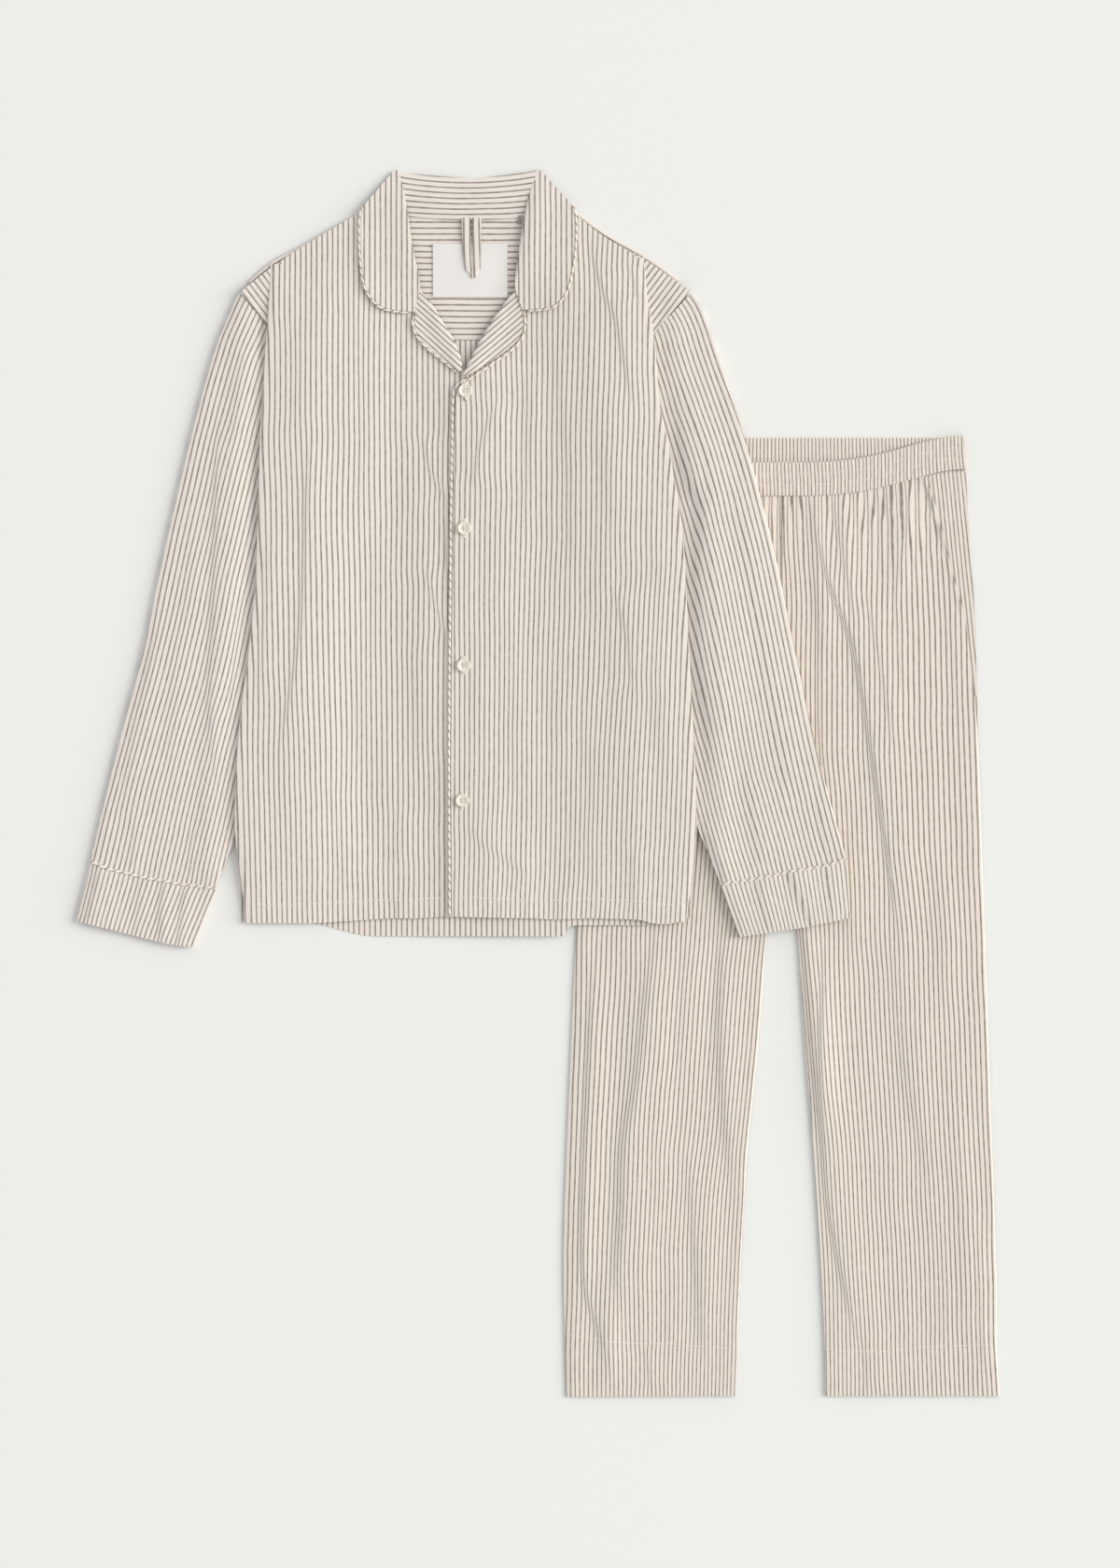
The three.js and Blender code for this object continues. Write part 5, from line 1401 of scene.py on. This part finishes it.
    def hem_stitches(self) -> None:
        """The hem seams of both legs, 50 mm above the hems."""
        rows = []
        for side in (LEFT, RIGHT):
            first, second = side.leg_hem
            share = even(160)
            x = mix(first[0], second[0], share)
            y = mix(first[1], second[1], share) + 3.5 * np.sin(np.pi * np.minimum(share * 1.6, 1))
            crown = self.leg_surface(x, y, side)[0]
            on_top = slope_off(x - first[0] + 1.5, self.soft_edge)
            on_top = on_top * slope_off(second[0] - x + 1.5, self.crisp_edge)
            z = mix(LEG_SEAM, crown, on_top) + SHELL / 2 + 0.12
            rows.append(stitches(place(x, y, z), radius=0.4))
        self.trim("leg_hem_stitches", Cloth.together(rows), THREAD)

    def build(self) -> None:
        """Makes every piece of the trousers."""
        for side in (LEFT, RIGHT):
            self.back(side)
            self.front(side)
        self.pocket()
        self.waistband()
        self.hem_stitches()


@dataclass
class Shirt(Garment):
    """The pyjama shirt, lying on the floor and over the trousers."""

    def front_surface(self, x: np.ndarray, y: np.ndarray, side: Side) -> Pair:
        """Height of a front's middle surface, and its stripe shift."""
        lift, shift = creased(side.front_creases, x, y)
        stir = unevenness(x, y, 20 + side.number, 0.16)
        return LIE.front_under(x, y, side) + CLOTH / 2 + lift + stir, shift

    def front_uv(self, x: np.ndarray, y: np.ndarray, side: Side) -> np.ndarray:
        """Cloth coordinates of a front: stripes run down it and drift near its side."""
        lean = np.interp(y, *zip(*side.front_lean))
        share = np.clip((x - SHIRT_MIDDLE) / (side.fold.x_at(y) - SHIRT_MIDDLE), 0, 1.3)
        u = striped(x - lean * share, side.front_repeat)
        return np.stack([u, y + 0 * u], axis=-1)

    def front(self, side: Side) -> None:
        """One front, from its edge at the buttons to the fold at its side, where it turns under."""
        inward = side.inward
        panel = Panel(side.front_edge, side.fold, side.front_head, side.front_hem)
        down, across = crowded(180, 0.4), crowded(136, 0.3)
        x, y = panel.at(down, across)
        x = x + inward * 7 * across**3
        z, shift = self.front_surface(x, y, side)
        uv = self.front_uv(x, y, side)
        uv[..., 0] += shift
        # The side turns under in a half circle, and 22 mm of it lie flat below.
        fold_x, fold_y = panel.at(down, np.array([1.0]))
        angle = np.pi * (0.5 - even(10))
        outward = np.r_[0.4 - 0.6 * np.cos(angle), np.linspace(6, 28, 7)]
        below = np.r_[CLOTH * (np.sin(angle) - 1), np.full(7, -2 * CLOTH)]
        side_x = fold_x + inward * outward
        base_x = fold_x + inward * np.maximum(outward, 2)
        level, _ = self.front_surface(base_x, fold_y + 0 * base_x, side)
        run = np.r_[np.linspace(-2, 5, 11), np.linspace(9, 31, 7)]
        side_uv = self.front_uv(fold_x - inward * run, fold_y, side)
        side_uv[..., 0] += shift[:, -1:]
        grid = np.hstack([place(x, y, z), place(side_x, fold_y, level + below)])
        wall = Cloth.wall(grid, np.hstack([uv, side_uv]), SHELL)
        cloth = Cloth.together([wall, self.shoulder_corner(side)])
        under = ("shirt_back", f"sleeve_{side.name}")
        self.sew(f"shirt_front_{side.name}", cloth, SHIRT_POPLIN, Cut(0.285, 0.775, 0.205), under)

    def shoulder_corner(self, side: Side) -> Cloth:
        """The part of a front that runs out to the armhole seam past the start of the side fold."""
        down, across = even(28)[:, None], even(28)[None, :]
        x, y = side.corner.at(down[:, 0], across[0])
        below = 2 * CLOTH * ease(5 * down / 2.4) + 1.4 * ease(across * 1.4 - 0.4)
        dip = 0.5 * np.sin(3 * np.pi * across) * ease(down)
        z = LIE.front_under(x, y, side) + CLOTH / 2 - below + dip
        over_sleeve = LIE.tube_top(x, y, np.full_like(x, 20.0), SHELL / 2) + SHELL + 0.35
        z = mix(z, np.maximum(z, over_sleeve), ease((across - 0.6) / 0.4))
        lean = 0.8 * side.inward * x
        uv = np.stack([0.6 * y - lean, y + lean], axis=-1)
        return Cloth.wall(place(x, y, z), uv, SHELL)

    def back(self) -> None:
        """The back below the yoke, whose hem hangs a little lower than the fronts' hem."""
        down, across = crowded(120, 0.5)[:, None], crowded(80, 0.3)[None, :]
        straight = YOKE_SEAM + SEAM_GAP + down * (980 - YOKE_SEAM)
        x = mix(LEFT.fold.x_at(straight) + 3, RIGHT.fold.x_at(straight) - 3, across)
        longer = 16 * ease((x - 315) / 90) - 12 * ease((x - 604) / 8) - 8 * ease((x - 690) / 40)
        y = straight + ease((down - 0.5) * 2) * (7 + longer)
        lift, shift = creased(BACK_CREASES, x, y)
        z = LIE.ground(x, y) + CLOTH / 2 + lift
        cloth = Cloth.wall(place(x, y, z), np.stack([x + shift, y], axis=-1), SHELL)
        self.sew("shirt_back", cloth, SHIRT_POPLIN, Cut(0.49, 0.64, 0.285), ("floor", "trouser_front_left"))

    def yoke(self) -> None:
        """The yoke inside the neck, and the strips that roll over the shoulders to the fronts."""
        top = [(px + 2.5, py + 3) for px, py in LEFT.shoulder.points[:0:-1]]
        top += [*NECK_EDGE, *((px - 2.5, py + 3) for px, py in RIGHT.shoulder.points[1:])]
        x = np.linspace(262.3, 732.2, 150)[None, :]
        upper = np.interp(x, *zip(*top))
        lower = np.maximum(np.interp(x, *zip(*YOKE_FOOT)), upper + 0.4)
        y = mix(upper, lower, even(44)[:, None])
        stir = 0.12 * (1 + np.sin(x / 17 + y / 29))
        uv = np.stack([striped(y, 6.33) + 0.35 * np.sin(x / 46), x + 0 * y], axis=-1)
        parts = [Cloth.wall(place(x, y, CLOTH / 2 + stir), uv, SHELL)]
        parts += [self.shoulder_roll(side.shoulder) for side in (LEFT, RIGHT)]
        self.sew("shirt_yoke", Cloth.together(parts), SHIRT_POPLIN, Cut(0.48, 0.15, 0.05), ("floor",))

    def shoulder_roll(self, shoulder: Outline) -> Cloth:
        """A strip of the yoke rolled over the shoulder line, a half circle and two flats."""
        radius, width = 1.15, 4.2
        line = shoulder.at(0.02 + 0.92 * even(70))
        ahead = np.gradient(line, axis=0)
        inward = np.stack([-ahead[:, 1], ahead[:, 0]], axis=-1)
        inward /= np.linalg.norm(inward, axis=1, keepdims=True)
        inward *= np.where(inward[:, 1:] < 0, -1, 1)
        angle = np.pi * (even(8) - 0.5)
        off = np.r_[width + 4, radius * (1 - np.cos(angle)), width, width + 4.5] - 0.4
        z = np.r_[0, radius * (np.sin(angle) + 1), 2 * radius, 2 * radius - 0.1] + CLOTH / 2
        x, y = (line[:, k : k + 1] + inward[:, k : k + 1] * off for k in (0, 1))
        arc = run_along(np.stack([off, z], axis=-1)) + 1.1
        uv = np.stack(np.broadcast_arrays(arc[None, :], run_along(line)[:, None]), axis=-1)
        return Cloth.wall(place(x, y, z), uv, SHELL)

    def tube(
        self, panel: Panel, rows: np.ndarray, creases: tuple[Crease, ...], thickness: float,
        stripe: Callable[[np.ndarray, np.ndarray, np.ndarray], np.ndarray], seed: int,
    ) -> Cloth:
        """A flattened tube of cloth: flat below, rounded at both sides, soft on top.

        Args:
            panel: its outline on the board.
            rows: shares down its length.
            creases: creases of its top; its underside has similar shallow ones.
            thickness: thickness of its wall.
            stripe: gives the stripe coordinate of the top from x, y and the share across.
            seed: seed of its small waves.

        Returns:
            The tube, open at both ends.
        """
        half = thickness / 2
        top = crowded(96, 0.7)
        x, y = panel.at(rows, top)
        width = breadth(x, y)
        to_left, to_right = top * width, (1 - top) * width
        if x[0, 0] > x[0, -1]:
            to_left, to_right = to_right, to_left
        lift, shift = creased(creases, x, y)
        lift = (lift + unevenness(x, y, seed, 0.15)) * ease(to_left / 12) * ease(to_right / 1.5)
        crown = LIE.tube_top(x, y, to_left, half) + lift
        crown[:, [0, -1]] += half
        low = crowded(30, 0.6)[-2:0:-1]
        low_x, low_y = panel.at(rows, low)
        inside = np.minimum(low, 1 - low)
        wave = 0.22 * (1 + np.sin(low_x / 9 + low_y / 47)) * ease(inside * 6)
        bottom = LIE.tube_bottom(low_x, low_y, inside * width, half) + wave
        grid = np.hstack([place(x, y, crown), place(low_x, low_y, bottom)])
        u = stripe(x, y, top + 0 * x) + shift
        around = 2 * u[:, -1:]
        under = around - stripe(low_x, low_y, low + 0 * low_x)
        last = around - stripe(x[:, :1], y[:, :1], 0 * x[:, :1])
        u = np.hstack([u, under, last])
        middle = top.size // 2
        v = run_along(np.stack([x[:, middle], y[:, middle]], axis=-1))[:, None]
        return Cloth.wall(grid, np.stack([u, v + 0 * u], axis=-1), thickness, closed=True)

    def sleeve(self, side: Side) -> None:
        """One long sleeve, a flat tube whose stripes run along its outer edge."""
        foot = Outline(tuple((px, py - 1.1) for px, py in side.cuff_seam))
        panel = Panel(side.sleeve_outer, side.sleeve_inner, side.sleeve_head, foot)

        def from_outer(x: np.ndarray, y: np.ndarray, _: np.ndarray) -> np.ndarray:
            """Stripe coordinate: the distance from the outer edge, drawn in a little inwards."""
            d = np.abs(side.sleeve_outer.beside(x, y)[0])
            return d * (1 + 0.0006 * d)

        seed = 30 + side.number
        cloth = self.tube(panel, crowded(150, 0.2), side.sleeve_creases, SHELL, from_outer, seed)
        under = (side.sleeve_on, "shirt_back")
        self.sew(f"sleeve_{side.name}", cloth, SHIRT_POPLIN, Cut(0.36, 0.62, 0.16), under)

    def cuff(self, side: Side) -> None:
        """One cuff, a ring of two layers, with the piping round its seam."""
        top, edge = tuple((px, py + 1.1) for px, py in side.cuff_seam), side.cuff_edge
        ends = (Outline((top[k], edge[k])) for k in (0, -1))
        panel = Panel(*ends, Outline(top), Outline(edge), reach=1.0)

        def across_cuff(_: np.ndarray, __: np.ndarray, share: np.ndarray) -> np.ndarray:
            """Stripe coordinate: the share across, with the stripes 5 mm apart."""
            return striped(share * CUFF_WIDTH, 5.0)

        seed = 40 + side.number
        cloth = self.tube(panel, crowded(34, 0.4), side.cuff_creases, DOUBLE_SHELL, across_cuff, seed)
        self.sew(f"cuff_{side.name}", cloth, SHIRT_POPLIN, Cut(0.27, 0.066), (side.cuff_on,))
        self.cuff_piping(side)

    def cuff_piping(self, side: Side) -> None:
        """A cord of bias cloth all round the seam between sleeve and cuff."""
        radius = 1.45
        line = Outline(side.cuff_seam)
        share = 0.004 + 0.992 * crowded(70, 0.7)
        low = share[-2:0:-1]
        ends = line.at(np.array([0.0, 1.0]))
        width = float(np.linalg.norm(ends[1] - ends[0]))
        (x, y), (low_x, low_y) = line.at(share).T, line.at(low).T
        to_left = (share if x[0] < x[-1] else 1 - share) * width
        crown = LIE.tube_top(x, y, to_left, 0.0) + 0.8 * creased(side.cuff_creases, x, y)[0]
        bottom = LIE.tube_bottom(low_x, low_y, np.minimum(low, 1 - low) * width, radius)
        path = np.vstack([place(x, y, crown), place(low_x, low_y, bottom)])
        self.sew(f"piping_cuff_{side.name}", Cloth.cord(path, radius, closed=True), PIPING_POPLIN)

    def build(self) -> None:
        """Makes every large piece of the shirt."""
        self.back()
        self.yoke()
        for side in (LEFT, RIGHT):
            self.sleeve(side)
            self.cuff(side)
            self.front(side)


@dataclass
class Neck(Garment):
    """Collar, lapels, piping, label and loop.

    Attributes:
        shirt: the shirt that they lie on.
        piping_radius: radius of the piping.
        rest: gap between a front and what is turned over onto it.
        leaf_over_lapel: how much higher a leaf's point lies on its lapel.
    """

    shirt: Shirt
    piping_radius: float = 1.25
    rest: float = 1.0
    leaf_over_lapel: float = 1.0

    def lapel_middle(self, x: np.ndarray, y: np.ndarray, side: Side) -> np.ndarray:
        """Height of a lapel's middle surface."""
        return LIE.front_under(x, y, side) + CLOTH + self.rest + DOUBLE_CLOTH / 2

    def leaf_middle(self, x: np.ndarray, y: np.ndarray, side: Side) -> np.ndarray:
        """Height of a leaf's middle: on the front, on the lapel, and near the floor behind the neck."""
        resting = LIE.front_under(x, y, side) + CLOTH + self.rest
        over = self.leaf_over_lapel * ease((y - 292) / 18)
        return mix(2.6, resting, ease((y - 182) / 46)) + DOUBLE_CLOTH / 2 + over + 0.2

    def leaf(self, side: Side) -> Cloth:
        """One leaf of the collar, which swells up near its roll line and turns down along it."""
        across = crowded(30, 0.5)
        x, y = side.leaf.at(even(64), across)
        from_roll = across * breadth(x, y)
        rolled = 1 - ease((y - 284) / 22)
        drop = side.leaf_drop * rolled * (1 - round_edge(from_roll, 2.0))
        swell = 1.3 * rolled * np.exp(-(((from_roll - 9) / 15) ** 2)) * ease((y - 190) / 30)
        stir = 0.22 * np.sin(x / 9.5 + y / 60) + 0.2 * np.sin(x / 15 - y / 40 + 1)
        z = self.leaf_middle(x, y, side) - drop + swell + stir * ease(from_roll / 10)
        return Cloth.wall(place(x, y, z), np.stack([x, y], axis=-1), DOUBLE_SHELL)

    def collar_back(self) -> Cloth:
        """The collar behind the neck: folded over at its top, its inner side facing up."""
        floor, radius = 0.8, 1.4
        x = np.linspace(425.5, 574.5, 60)[:, None]
        top = 189.6 - 6.8 * np.minimum(((x - 500) / 73) ** 2, 1.1) + 0.5 * np.sin(x / 13)
        seam = 235 - 4 * ((x - 503) / 66) ** 2
        angle = np.pi * (even(8) - 0.5)
        share = even(18)[1:]
        low = np.hstack([seam - 6, (top + seam) / 2, top + 6])
        fold = top + 0.8 + radius * (1 - np.cos(angle))
        y = np.hstack([low, fold, mix(top + 4, seam, share)])
        hump = (1.3 + 0.25 * np.sin(x / 9)) * np.sin(np.pi * share)
        z = floor + np.hstack([
            0 * low,
            np.broadcast_to(radius * (np.sin(angle) + 1), fold.shape),
            mix(2 * radius, 1.6, share) + hump,
        ])
        bow = mix(7.5, 3.0, (y - 186) / 45) * (1 - ((x - 500) / 74) ** 2)
        uv = np.stack([striped(y - bow, 6.2), x + 0 * y], axis=-1)
        return Cloth.wall(place(x, y, z), uv, DOUBLE_SHELL)

    def collar(self) -> None:
        """The collar in one piece: its back, both leaves and the tab where it joins the right front."""
        x, y = np.meshgrid(np.linspace(555, 560.5, 6), np.linspace(226, 239.5, 14))
        tab = Cloth.wall(place(x, y, 2.6), np.stack([x * 0.2, y], axis=-1), DOUBLE_SHELL)
        cloth = Cloth.together([self.collar_back(), self.leaf(LEFT), self.leaf(RIGHT), tab])
        under = ("shirt_front_left", "shirt_front_right")
        self.sew("collar", cloth, SHIRT_POPLIN, Cut(0.23, 0.15, 0.024), under)

    def lapel(self, side: Side) -> None:
        """One lapel, which starts under the leaf: stripes run slantwise, and it swells along its roll."""
        (roll_x, roll_y), (edge_x, edge_y) = side.lapel.first.points[0], side.lapel.second.points[0]
        roll = Outline(((roll_x - side.inward * 9, roll_y - 13), *side.lapel.first.points))
        edge = Outline(((edge_x - side.inward * 7, edge_y - 12), *side.lapel.second.points))
        down, across = even(46), crowded(22, 0.5)
        x, y = Panel(roll, edge).at(down, across)
        from_roll = across * breadth(x, y)
        swell = 1.1 * np.exp(-(((from_roll - 6) / 9) ** 2)) * ease((down - 0.25) / 0.2)[:, None]
        drop = 0.9 * (1 - round_edge(from_roll, 2.0))
        hidden = 0.5 * (1 - ease((down - 0.1) / 0.15))[:, None]
        z = self.lapel_middle(x, y, side) + swell - drop - hidden
        cosine, sine = side.lapel_turn
        uv = np.stack([striped(cosine * x - sine * y, side.lapel_repeat), sine * x + cosine * y], axis=-1)
        cloth = Cloth.wall(place(x, y, z), uv, DOUBLE_SHELL)
        cut = Cut(0.042, 0.105, 0.0026)
        self.sew(f"lapel_{side.name}", cloth, SHIRT_POPLIN, cut, (f"shirt_front_{side.name}",))

    def beside(self, outline: Outline, span: Span, outward: float, steps: int) -> np.ndarray:
        """Board x and y of a line 1.5 mm beside an outline, clear of the cloth that it edges.

        Args:
            outline: the edge of the cloth.
            span: shares of its length where the line starts and ends.
            outward: 1 or -1, the side that the line runs on.
            steps: number of steps.

        Returns:
            The places, x first.
        """
        shares = mix(*span, even(steps))
        ahead = outline.at(shares + 0.01) - outline.at(shares - 0.01)
        ahead /= np.linalg.norm(ahead, axis=1, keepdims=True)
        away = np.stack([-ahead[:, 1], ahead[:, 0]], axis=-1)
        return (outline.at(shares) + outward * 1.5 * away).T

    def piping(self, name: str, x: np.ndarray, y: np.ndarray, z: np.ndarray) -> None:
        """One length of bias piping along its middle line."""
        cord = Cloth.cord(place(x, y, z), self.piping_radius)
        self.sew(f"piping_{name}", cord, PIPING_POPLIN)

    def pipings(self) -> None:
        """Bias piping on both leaves, the left lapel, the right lapel and down the front edge."""
        for side in (LEFT, RIGHT):
            x, y = self.beside(side.leaf.second, (0.26, 0.985), side.inward, 110)
            self.piping(f"collar_{side.name}", x, y, self.leaf_middle(x, y, side))
        x, y = self.beside(LEFT.lapel.second, (0.05, 0.97), LEFT.inward, 70)
        self.piping("lapel_left", x, y, self.lapel_middle(x, y, LEFT) + 0.1)
        x, y = FRONT_EDGE_CORD.at(even(420)).T
        level, _ = self.shirt.front_surface(np.maximum(x, 486), y, RIGHT)
        on_lapel = 1 - ease((y - 404) / 12)
        self.piping("front_edge", x, y, level + on_lapel * (self.rest + DOUBLE_CLOTH) + 0.2)

    def label(self) -> None:
        """The neck label, a blank ribbon sewn down on the yoke, slightly bowed."""
        left, top, width, height = LABEL_BOX
        u, v = even(40)[None, :], even(30)[:, None]
        x, y = left + width * u, top + height * v
        fold = 0.35 * (1 - ease((np.minimum(v, 1 - v) * height - 4.5) / 1.5))
        lift = 0.7 * np.sin(np.pi * u) * np.sin(np.pi * v) + 0.12 * np.sin(9 * u + 4 * v) + fold
        uv = np.stack(np.broadcast_arrays(x, y), axis=-1)
        cloth = Cloth.wall(place(x, y, 1.85 + lift), uv, 0.35)
        self.sew("neck_label", cloth, RIBBON, Cut(0.08, 0.057), ("shirt_yoke",))

    def loop(self) -> None:
        """The hanging loop: one narrow strip folded to a point, its two strands side by side."""
        parts = []
        down, share = even(40)[:, None], even(10)[None, :]
        narrowing = ease((down - 0.84) / 0.16)
        for outward in (-1, 1):
            middle = mix(505, 507, down**2)
            inner = mix(1.3, 0.3, ease(down * 1.25))
            outer = 10.4 - 3.2 * down**1.4 - 3.4 * narrowing
            off = mix(inner, outer, share)
            y = 233 + down * 65 - 4.5 * narrowing * share**2
            pillow = 0.5 * np.sqrt(np.clip(1 - (2 * share - 1) ** 2, 0, 1))
            z = 3.0 + pillow + 0.9 * np.sin(np.pi * down)
            uv = np.stack([striped(off - 1.9, 6.3) + STRIPE_REPEAT / 2, y], axis=-1)
            parts.append(Cloth.wall(place(middle + outward * off, y, z), uv, 0.9))
        cut = Cut(0.018, 0.066, 0.0011)
        self.sew("hanging_loop", Cloth.together(parts), SHIRT_POPLIN, cut, ("neck_label",))

    def build(self) -> None:
        """Makes every piece at the neck."""
        self.collar()
        self.lapel(LEFT)
        self.lapel(RIGHT)
        self.pipings()
        self.label()
        self.loop()


@dataclass
class Fastening(Garment):
    """Buttons with their thread, buttonholes and the shirt's stitched hems."""

    shirt: Shirt
    radius: float = 7.2
    height: float = 2.6
    hole_radius: float = 0.85
    hole_spread: float = 1.75

    def on_front(self, x: np.ndarray, y: np.ndarray, over: float, side: Side = RIGHT) -> np.ndarray:
        """Points that lie the given height over the cloth of a front."""
        x, y = np.broadcast_arrays(np.asarray(x, float), np.asarray(y, float))
        level, _ = self.shirt.front_surface(x, y, side)
        return place(x, y, level + SHELL / 2 + over)

    def disc(self) -> Cloth:
        """A turned disc with a raised rim and a shallow well, in pairs of inset and height."""
        top = self.height
        profile = np.array([
            (self.radius - 0.35, 0.0), (1.0, 0.0), (0.25, 0.25), (0.0, 0.9), (0.0, top - 0.8),
            (0.3, top - 0.2), (0.9, top), (1.6, top - 0.25), (2.3, top - 0.9), (3.2, top - 1.05),
            (self.radius - 0.35, top - 1.0),
        ])
        profile[:, 0] = self.radius - profile[:, 0]
        return Cloth.turned(profile, 64)

    def button(self, number: int, x: float, y: float) -> None:
        """One button, its four holes drilled through, sewn on with crossed thread."""
        level = self.on_front([x], [y], 0.0)[0, 2] - SHELL / 2
        under = LIE.front_under(np.array([x]), np.array([y]), RIGHT)[0]
        centre = place(x, y, max(under + CLOTH + SEAM_GAP, level + 0.5))
        disc = self.disc()
        disc.points = disc.points + centre
        piece = disc.to_object(f"button_{number}_shell")
        corners = [math.radians(a) for a in (45, 135, 225, 315)]
        spots = [centre + self.hole_spread * np.array([math.cos(a), math.sin(a), 0]) for a in corners]
        rod = Cloth.turned(np.array([(self.hole_radius, -2.0), (self.hole_radius, self.height + 2)]), 12)
        rods = [Cloth(rod.points + spot, rod.faces, rod.uv) for spot in spots]
        tool = Cloth.together(rods).to_object("drills")
        cutting = piece.modifiers.new("holes", "BOOLEAN")
        cutting.object, cutting.solver, cutting.operation = tool, "EXACT", "DIFFERENCE"
        cut = bpy.data.meshes.new_from_object(piece.evaluated_get(bpy.context.evaluated_depsgraph_get()))
        piece.modifiers.clear()
        piece.data = cut
        bpy.data.objects.remove(tool)
        PEARL.dress(piece)
        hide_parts(f"button_{number}")
        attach(piece, "root")
        self.trim(f"button_{number}_thread", self.button_thread(spots), THREAD)

    def button_thread(self, spots: list[np.ndarray]) -> Cloth:
        """Two strands over the middle of each pair of holes, and down through them to the cloth."""
        top = self.height - 0.95
        # Share of the way from hole to hole, and height
        bends = ((0.0, -0.9), (0.0, top - 0.2), (0.1, top + 0.25), (0.5, top + 0.4))
        bends += tuple((1 - share, z) for share, z in bends[2::-1])
        parts = []
        for first, second in (spots[:2], spots[2:]):
            for side in (-0.22, 0.22):
                path = np.array([mix(first, second, share) + [0, side, z] for share, z in bends])
                path[[0, -1], 0] += (0.05, -0.05)
                parts.append(Cloth.cord(path, 0.24))
        return Cloth.together(parts)

    def buttonholes(self) -> None:
        """Upright buttonholes worked in close stitches, showing above and below each button."""
        parts = []
        for x, y in BUTTON_PLACES:
            for side in (-0.75, 0.75):
                path = self.on_front(x, y + np.linspace(-9.2, 9.2, 15), 0.12)
                path[:, 0] += side + 0.02 * np.arange(15)
                parts.append(Cloth.cord(path, 0.55))
            for end in (-9.6, 9.6):
                parts.append(Cloth.cord(self.on_front(x + np.linspace(-1.4, 1.4, 5), y + end, 0.2), 0.5))
        self.trim("buttonhole_stitches", Cloth.together(parts), THREAD)

    def top_tack(self) -> None:
        """The small dark bar tack just under the top button."""
        path = self.on_front(497.5, 428.2 + np.linspace(-1.2, 1.2, 5), 0.5)
        path[:, 0] += 0.05 * np.arange(5)
        self.trim("top_bar_tack", Cloth.cord(path, 0.75), DARK_THREAD)

    def hems(self) -> None:
        """The hem seams of both fronts, 20 mm above the hems."""
        rows = []
        for side, start, end in ((LEFT, 268, 482), (RIGHT, 488, 738)):
            x = np.linspace(start, end, 200)
            y = np.interp(x, *zip(*sorted(side.front_hem.points))) - 20.5 + 0.7 * np.sin(x / 21)
            rows.append(stitches(self.on_front(x, y, 0.1, side), radius=0.4))
        self.trim("shirt_hem_stitches", Cloth.together(rows), THREAD)

    def build(self) -> None:
        """Makes buttons, buttonholes and hem seams."""
        for number, (x, y) in enumerate(BUTTON_PLACES, start=1):
            self.button(number, x, y)
        self.buttonholes()
        self.top_tack()
        self.hems()


@dataclass(frozen=True)
class Lamp:
    """A soft distant light. Height above the floor, bearing and softness are in degrees."""

    name: str
    height: float
    bearing: float
    strength: float
    softness: float

    def build(self) -> None:
        """Adds the light, turned so that it shines from its height and bearing."""
        lamp = bpy.data.lights.new(self.name, "SUN")
        lamp.energy = self.strength
        lamp.angle = math.radians(self.softness)
        lamp.color = linear("fffdfa")[:3]
        made = bpy.data.objects.new(self.name, lamp)
        bpy.context.scene.collection.objects.link(made)
        up, around = math.radians(self.height), math.radians(self.bearing)
        towards = Vector((math.cos(up) * math.cos(around), math.cos(up) * math.sin(around), math.sin(up)))
        made.rotation_mode = "QUATERNION"
        made.rotation_quaternion = towards.to_track_quat("Z", "Y")


@dataclass
class Studio:
    """Floor, light and camera, as the set was photographed: straight from above."""

    camera_height: float = 6.0
    cloth_level: float = 0.006
    floor_half: float = 4000.0
    floor_depth: float = 10.0
    lamps: tuple[Lamp, ...] = (
        Lamp("key", 33.0, 10.0, 1.58, 34.0),
        Lamp("low side light", 13.0, 6.0, 0.95, 18.0),
    )
    fill_strength: float = 0.665

    def floor(self) -> None:
        """A wide floor just under the cloth."""
        line = np.linspace(-self.floor_half, self.floor_half, 9)
        x, y = np.meshgrid(line, line)
        grid = np.stack([x, y, np.full_like(x, -self.floor_depth / 2)], axis=-1)
        made = Cloth.wall(grid, np.stack([x, y], axis=-1), self.floor_depth).to_object("floor")
        STUDIO_FLOOR.dress(made)

    def light(self) -> None:
        """Two broad soft lights from the right, one of them low, and an even fill from all round."""
        for lamp in self.lamps:
            lamp.build()
        world = bpy.data.worlds.new("studio")
        bpy.context.scene.world = world
        world.use_nodes = True
        fill = world.node_tree.nodes["Background"]
        fill.inputs["Color"].default_value = linear("fdfeff")
        fill.inputs["Strength"].default_value = self.fill_strength
        bpy.context.scene.view_settings.view_transform = "Standard"

    def camera(self) -> None:
        """A long lens straight above the middle of the board, which it frames exactly."""
        data = bpy.data.cameras.new("camera")
        data.sensor_width = 36.0
        distance = self.camera_height - self.cloth_level
        data.lens = data.sensor_width * distance / (BOARD_HEIGHT * MM)
        data.clip_start, data.clip_end = 0.1, 100.0
        made = bpy.data.objects.new("camera", data)
        bpy.context.scene.collection.objects.link(made)
        centre = place(BOARD_WIDTH / 2, BOARD_HEIGHT / 2, 0.0) * MM
        made.location = (centre[0], centre[1], self.camera_height)
        bpy.context.scene.camera = made

    def build(self) -> None:
        """Sets up the studio."""
        self.floor()
        self.light()
        self.camera()


def main() -> None:
    """Builds the studio, the trousers and the shirt, in that order."""
    logging.basicConfig(level=logging.INFO, format="%(message)s")
    Studio().build()
    Trousers().build()
    shirt = Shirt()
    shirt.build()
    Neck(shirt).build()
    Fastening(shirt).build()


if __name__ == "__main__":
    main()
